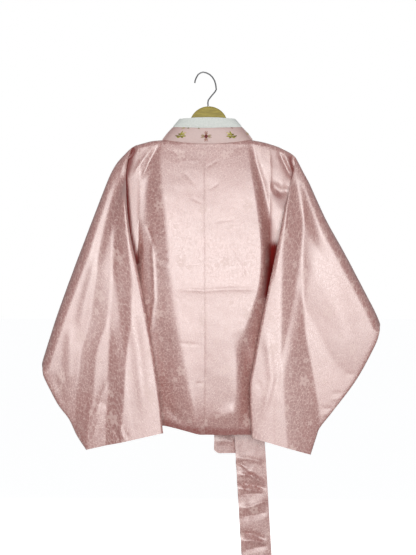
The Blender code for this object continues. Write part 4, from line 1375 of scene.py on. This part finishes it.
def stitched_shape(name, seams, tops, shapes, floss):
    """Padded satin stitch: each shape is an outline domed a little over the band."""
    rings, heights = (1.0, 0.86, 0.6, 0.3), (0.0, 0.62, 0.92, 1.0)
    points, faces, uvs, slots = [], [], [], []
    for outline, spine, colour, rise in shapes:
        outline = np.array(outline, float)
        centre = outline.mean(axis=0)
        start, count = len(points), len(outline)
        flat = np.concatenate([centre + (outline - centre) * ring for ring in rings] + [centre[None]])
        lifted = np.r_[np.repeat(heights, count), 1.02]
        place, out = band_place(seams, tops, flat[:, 0], flat[:, 1])
        points += (place + out * (STITCH_BASE + rise * lifted)[:, None]).tolist()
        turn = np.array([[spine[0], spine[1]], [-spine[1], spine[0]]]) / math.hypot(*spine)
        laid = (flat - centre) @ turn.T * MM
        shape_faces = []
        for ring in range(len(rings) - 1):
            for j in range(count):
                near, far = ring * count + j, ring * count + (j + 1) % count
                shape_faces.append([near, far, far + count, near + count])
        last = (len(rings) - 1) * count
        shape_faces += [[last + j, last + (j + 1) % count, len(rings) * count] for j in range(count)]
        for face in shape_faces:
            faces.append([start + index for index in face])
            uvs += [tuple(laid[index]) for index in face]
            slots.append(colour)
    made = mesh_from(name, points, faces, uvs, floss)
    made.data.polygons.foreach_set("material_index", slots)
    modified(made, "Floss", "SOLIDIFY", thickness=0.5 * MM, offset=-1.0)
    made.data.set_sharp_from_angle(angle=SHARP_EDGE)
    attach(made, "root")


def leaf_outline(base, tip, width, bend=0.0, points=14):
    """A pointed leaf from base to tip, and the way its stitches run."""
    base, tip = np.array(base, float), np.array(tip, float)
    run = tip - base
    side = np.array([-run[1], run[0]]) / np.linalg.norm(run)
    shares = np.linspace(0, 1, points, endpoint=False)
    edge = []
    for sign, order in ((1, shares), (-1, 1 - shares)):
        for share in order:
            bulge = math.sin(math.pi * share ** 0.8) * width / 2
            sway = bend * math.sin(math.pi * share)
            edge.append(base + run * share + side * (sign * bulge + sway))
    return edge, tuple(side)


def flower_shapes(place, height, scale):
    """A cross flower: four split petals round a red heart, with a narrow leaf on each."""
    shapes = []
    centre = np.array([place, height])
    for index, petal in enumerate((SAND, ROSE, SAND, ROSE)):
        turn = math.radians(90 * index)
        aim = np.array([math.cos(turn), math.sin(turn)])
        side = np.array([-aim[1], aim[0]])
        for lean in (-1, 1):
            base = centre + aim * 2.6 * scale + side * lean * 0.5
            tip = centre + aim * 11.5 * scale + side * lean * 2.6 * scale
            shapes.append((*leaf_outline(base, tip, 4.0 * scale, 0.0, 8), petal, 0.5))
        base, tip = centre + aim * 3.4 * scale, centre + aim * 8.0 * scale
        shapes.append((*leaf_outline(base, tip, 1.9 * scale, 0.0, 7), GOLD, 0.75))
    ring = [(place + 3.3 * scale * math.cos(a), height + 3.3 * scale * math.sin(a))
            for a in np.linspace(0, 2 * math.pi, 16, endpoint=False)]
    shapes.append((ring, (1, 0), CRIMSON, 0.9))
    return shapes


def sprig_shapes(place, height, way):
    """A sprig: an upright bud, two spreading leaves above and a broad pair below."""
    shapes = []
    for base, tip, width, colour in SPRIG_LEAVES:
        start = (place + way * base[0], height + base[1])
        end = (place + way * tip[0], height + tip[1])
        shapes.append((*leaf_outline(start, end, width, 0.5 * way, 9), colour, 0.55))
    return shapes


def make_embroidery(seams, tops):
    """Flowers and sprigs by turns round the collar band, one every 55 mm."""
    floss = [thread_material(name + " floss", bright, dark) for name, bright, dark in FLOSS]
    flowers, sprigs = [], []
    for index, place in enumerate(MOTIF_PLACES):
        for way in (1, -1) if index else (1,):
            if index % 2 == 0:
                flowers += flower_shapes(way * place, 17.0, 1.05)
            else:
                sprigs += sprig_shapes(way * place, 17.5, -way)
    for start, end, colour in LEAF_TIPS:
        sprigs.append((*leaf_outline(start, end, 2.2, 0.0, 6), colour, 0.3))
    stitched_shape("collar_flowers", seams, tops, flowers, floss)
    stitched_shape("collar_sprigs", seams, tops, sprigs, floss)


def make_floor():
    bpy.ops.object.select_all(action="DESELECT")
    bpy.ops.mesh.primitive_plane_add(size=60, location=(0, 0, FLOOR_Z))
    floor = bpy.context.object
    floor.name = "studio_floor"
    made, tree = new_material("studio floor")
    from_camera = Amount(node(tree, "ShaderNodeLightPath").outputs["Is Camera Ray"])
    floor.data.materials.append(finished(made, {
        "Base Color": (0.5, 0.5, 0.5),
        "Roughness": 0.9,
        "Specular IOR Level": 0.1,
        "Emission Color": (1, 1, 1),
        "Emission Strength": from_camera * 0.8,
    }))


def area_light(name, place, aim, size, power):
    light = bpy.data.lights.new(name, "AREA")
    light.shape = "RECTANGLE"
    light.size = light.size_y = size
    light.energy = power
    light.color = (1.0, 0.985, 0.96)
    made = bpy.data.objects.new(name, light)
    bpy.context.scene.collection.objects.link(made)
    made.location = place
    made.rotation_euler = (Vector(aim) - Vector(place)).to_track_quat("-Z", "Y").to_euler()


def make_studio():
    """A large soft light above the camera, dim all-round light and a white background."""
    scene = bpy.context.scene
    scene.view_settings.view_transform = "Standard"
    scene.world = bpy.data.worlds.new("studio")
    scene.world.use_nodes = True
    tree = scene.world.node_tree
    tree.nodes.clear()
    around = Amount(node(tree, "ShaderNodeTexCoord").outputs["Generated"])
    apart = node(tree, "ShaderNodeSeparateXYZ")
    fed(apart, {0: around})
    height = fed(node(tree, "ShaderNodeMapRange"), {
        "Value": Amount(apart.outputs[2]),
        "From Min": -0.7, "From Max": 0.7,
        "To Min": 0.12, "To Max": 0.40,
    })
    lit = fed(node(tree, "ShaderNodeBackground"), {"Color": (0.95, 0.97, 1.0), "Strength": height})
    seen = fed(node(tree, "ShaderNodeBackground"), {"Color": (1, 1, 1), "Strength": 1.0})
    from_camera = Amount(node(tree, "ShaderNodeLightPath").outputs["Is Camera Ray"])
    either = fed(node(tree, "ShaderNodeMixShader"), {0: from_camera, 1: lit, 2: seen})
    out = node(tree, "ShaderNodeOutputWorld")
    feed(out.inputs[0], either)
    for light in LIGHTS:
        area_light(*light)

    camera = bpy.data.cameras.new("camera")
    camera.sensor_width = 36.0
    camera.lens = camera.sensor_width * VIEW_DISTANCE / VIEW_HEIGHT
    made = bpy.data.objects.new("camera", camera)
    scene.collection.objects.link(made)
    made.location = (VIEW_CENTRE[0] * MM, VIEW_DISTANCE * MM, VIEW_CENTRE[1] * MM)
    made.rotation_euler = (math.radians(90), 0, math.radians(180))
    scene.camera = made


def main():
    make_studio()
    make_floor()
    silk = silk_material("pink silk damask", PINK_SATIN, CREAM_FIGURE)
    # Painted shade: this silk is darkened in deep folds and along the hem
    fold_shaded_silk = silk_material("pink silk with painted fold shade", PINK_SATIN, CREAM_FIGURE, shade_folds=True)
    lining = silk_material("pale silk lining", PALE_SATIN, PALE_FIGURE, damask=0.0, lining=True)
    crisp = silk_material("crisp collar silk", CRISP_SATIN, CRISP_FIGURE, damask=0.5, rough=0.52)
    for piece in make_back([fold_shaded_silk, lining]) + make_fronts([silk, lining]):
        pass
    for side in ("left", "right"):
        make_sleeve(side, [fold_shaded_silk, lining])
    seams, tops = collar_lines(fine=30)
    band, strip = make_collar(seams, tops, [crisp, lining], cotton_material())
    make_embroidery(seams, tops)
    for which in RIBBONS:
        make_ribbon(which, [silk])
    make_loop([silk])
    make_knot([silk])
    make_hanger(wood_material())
    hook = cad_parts["hanger_hook"]
    hook.data.materials.clear()
    hook.data.materials.append(steel_material())


main()
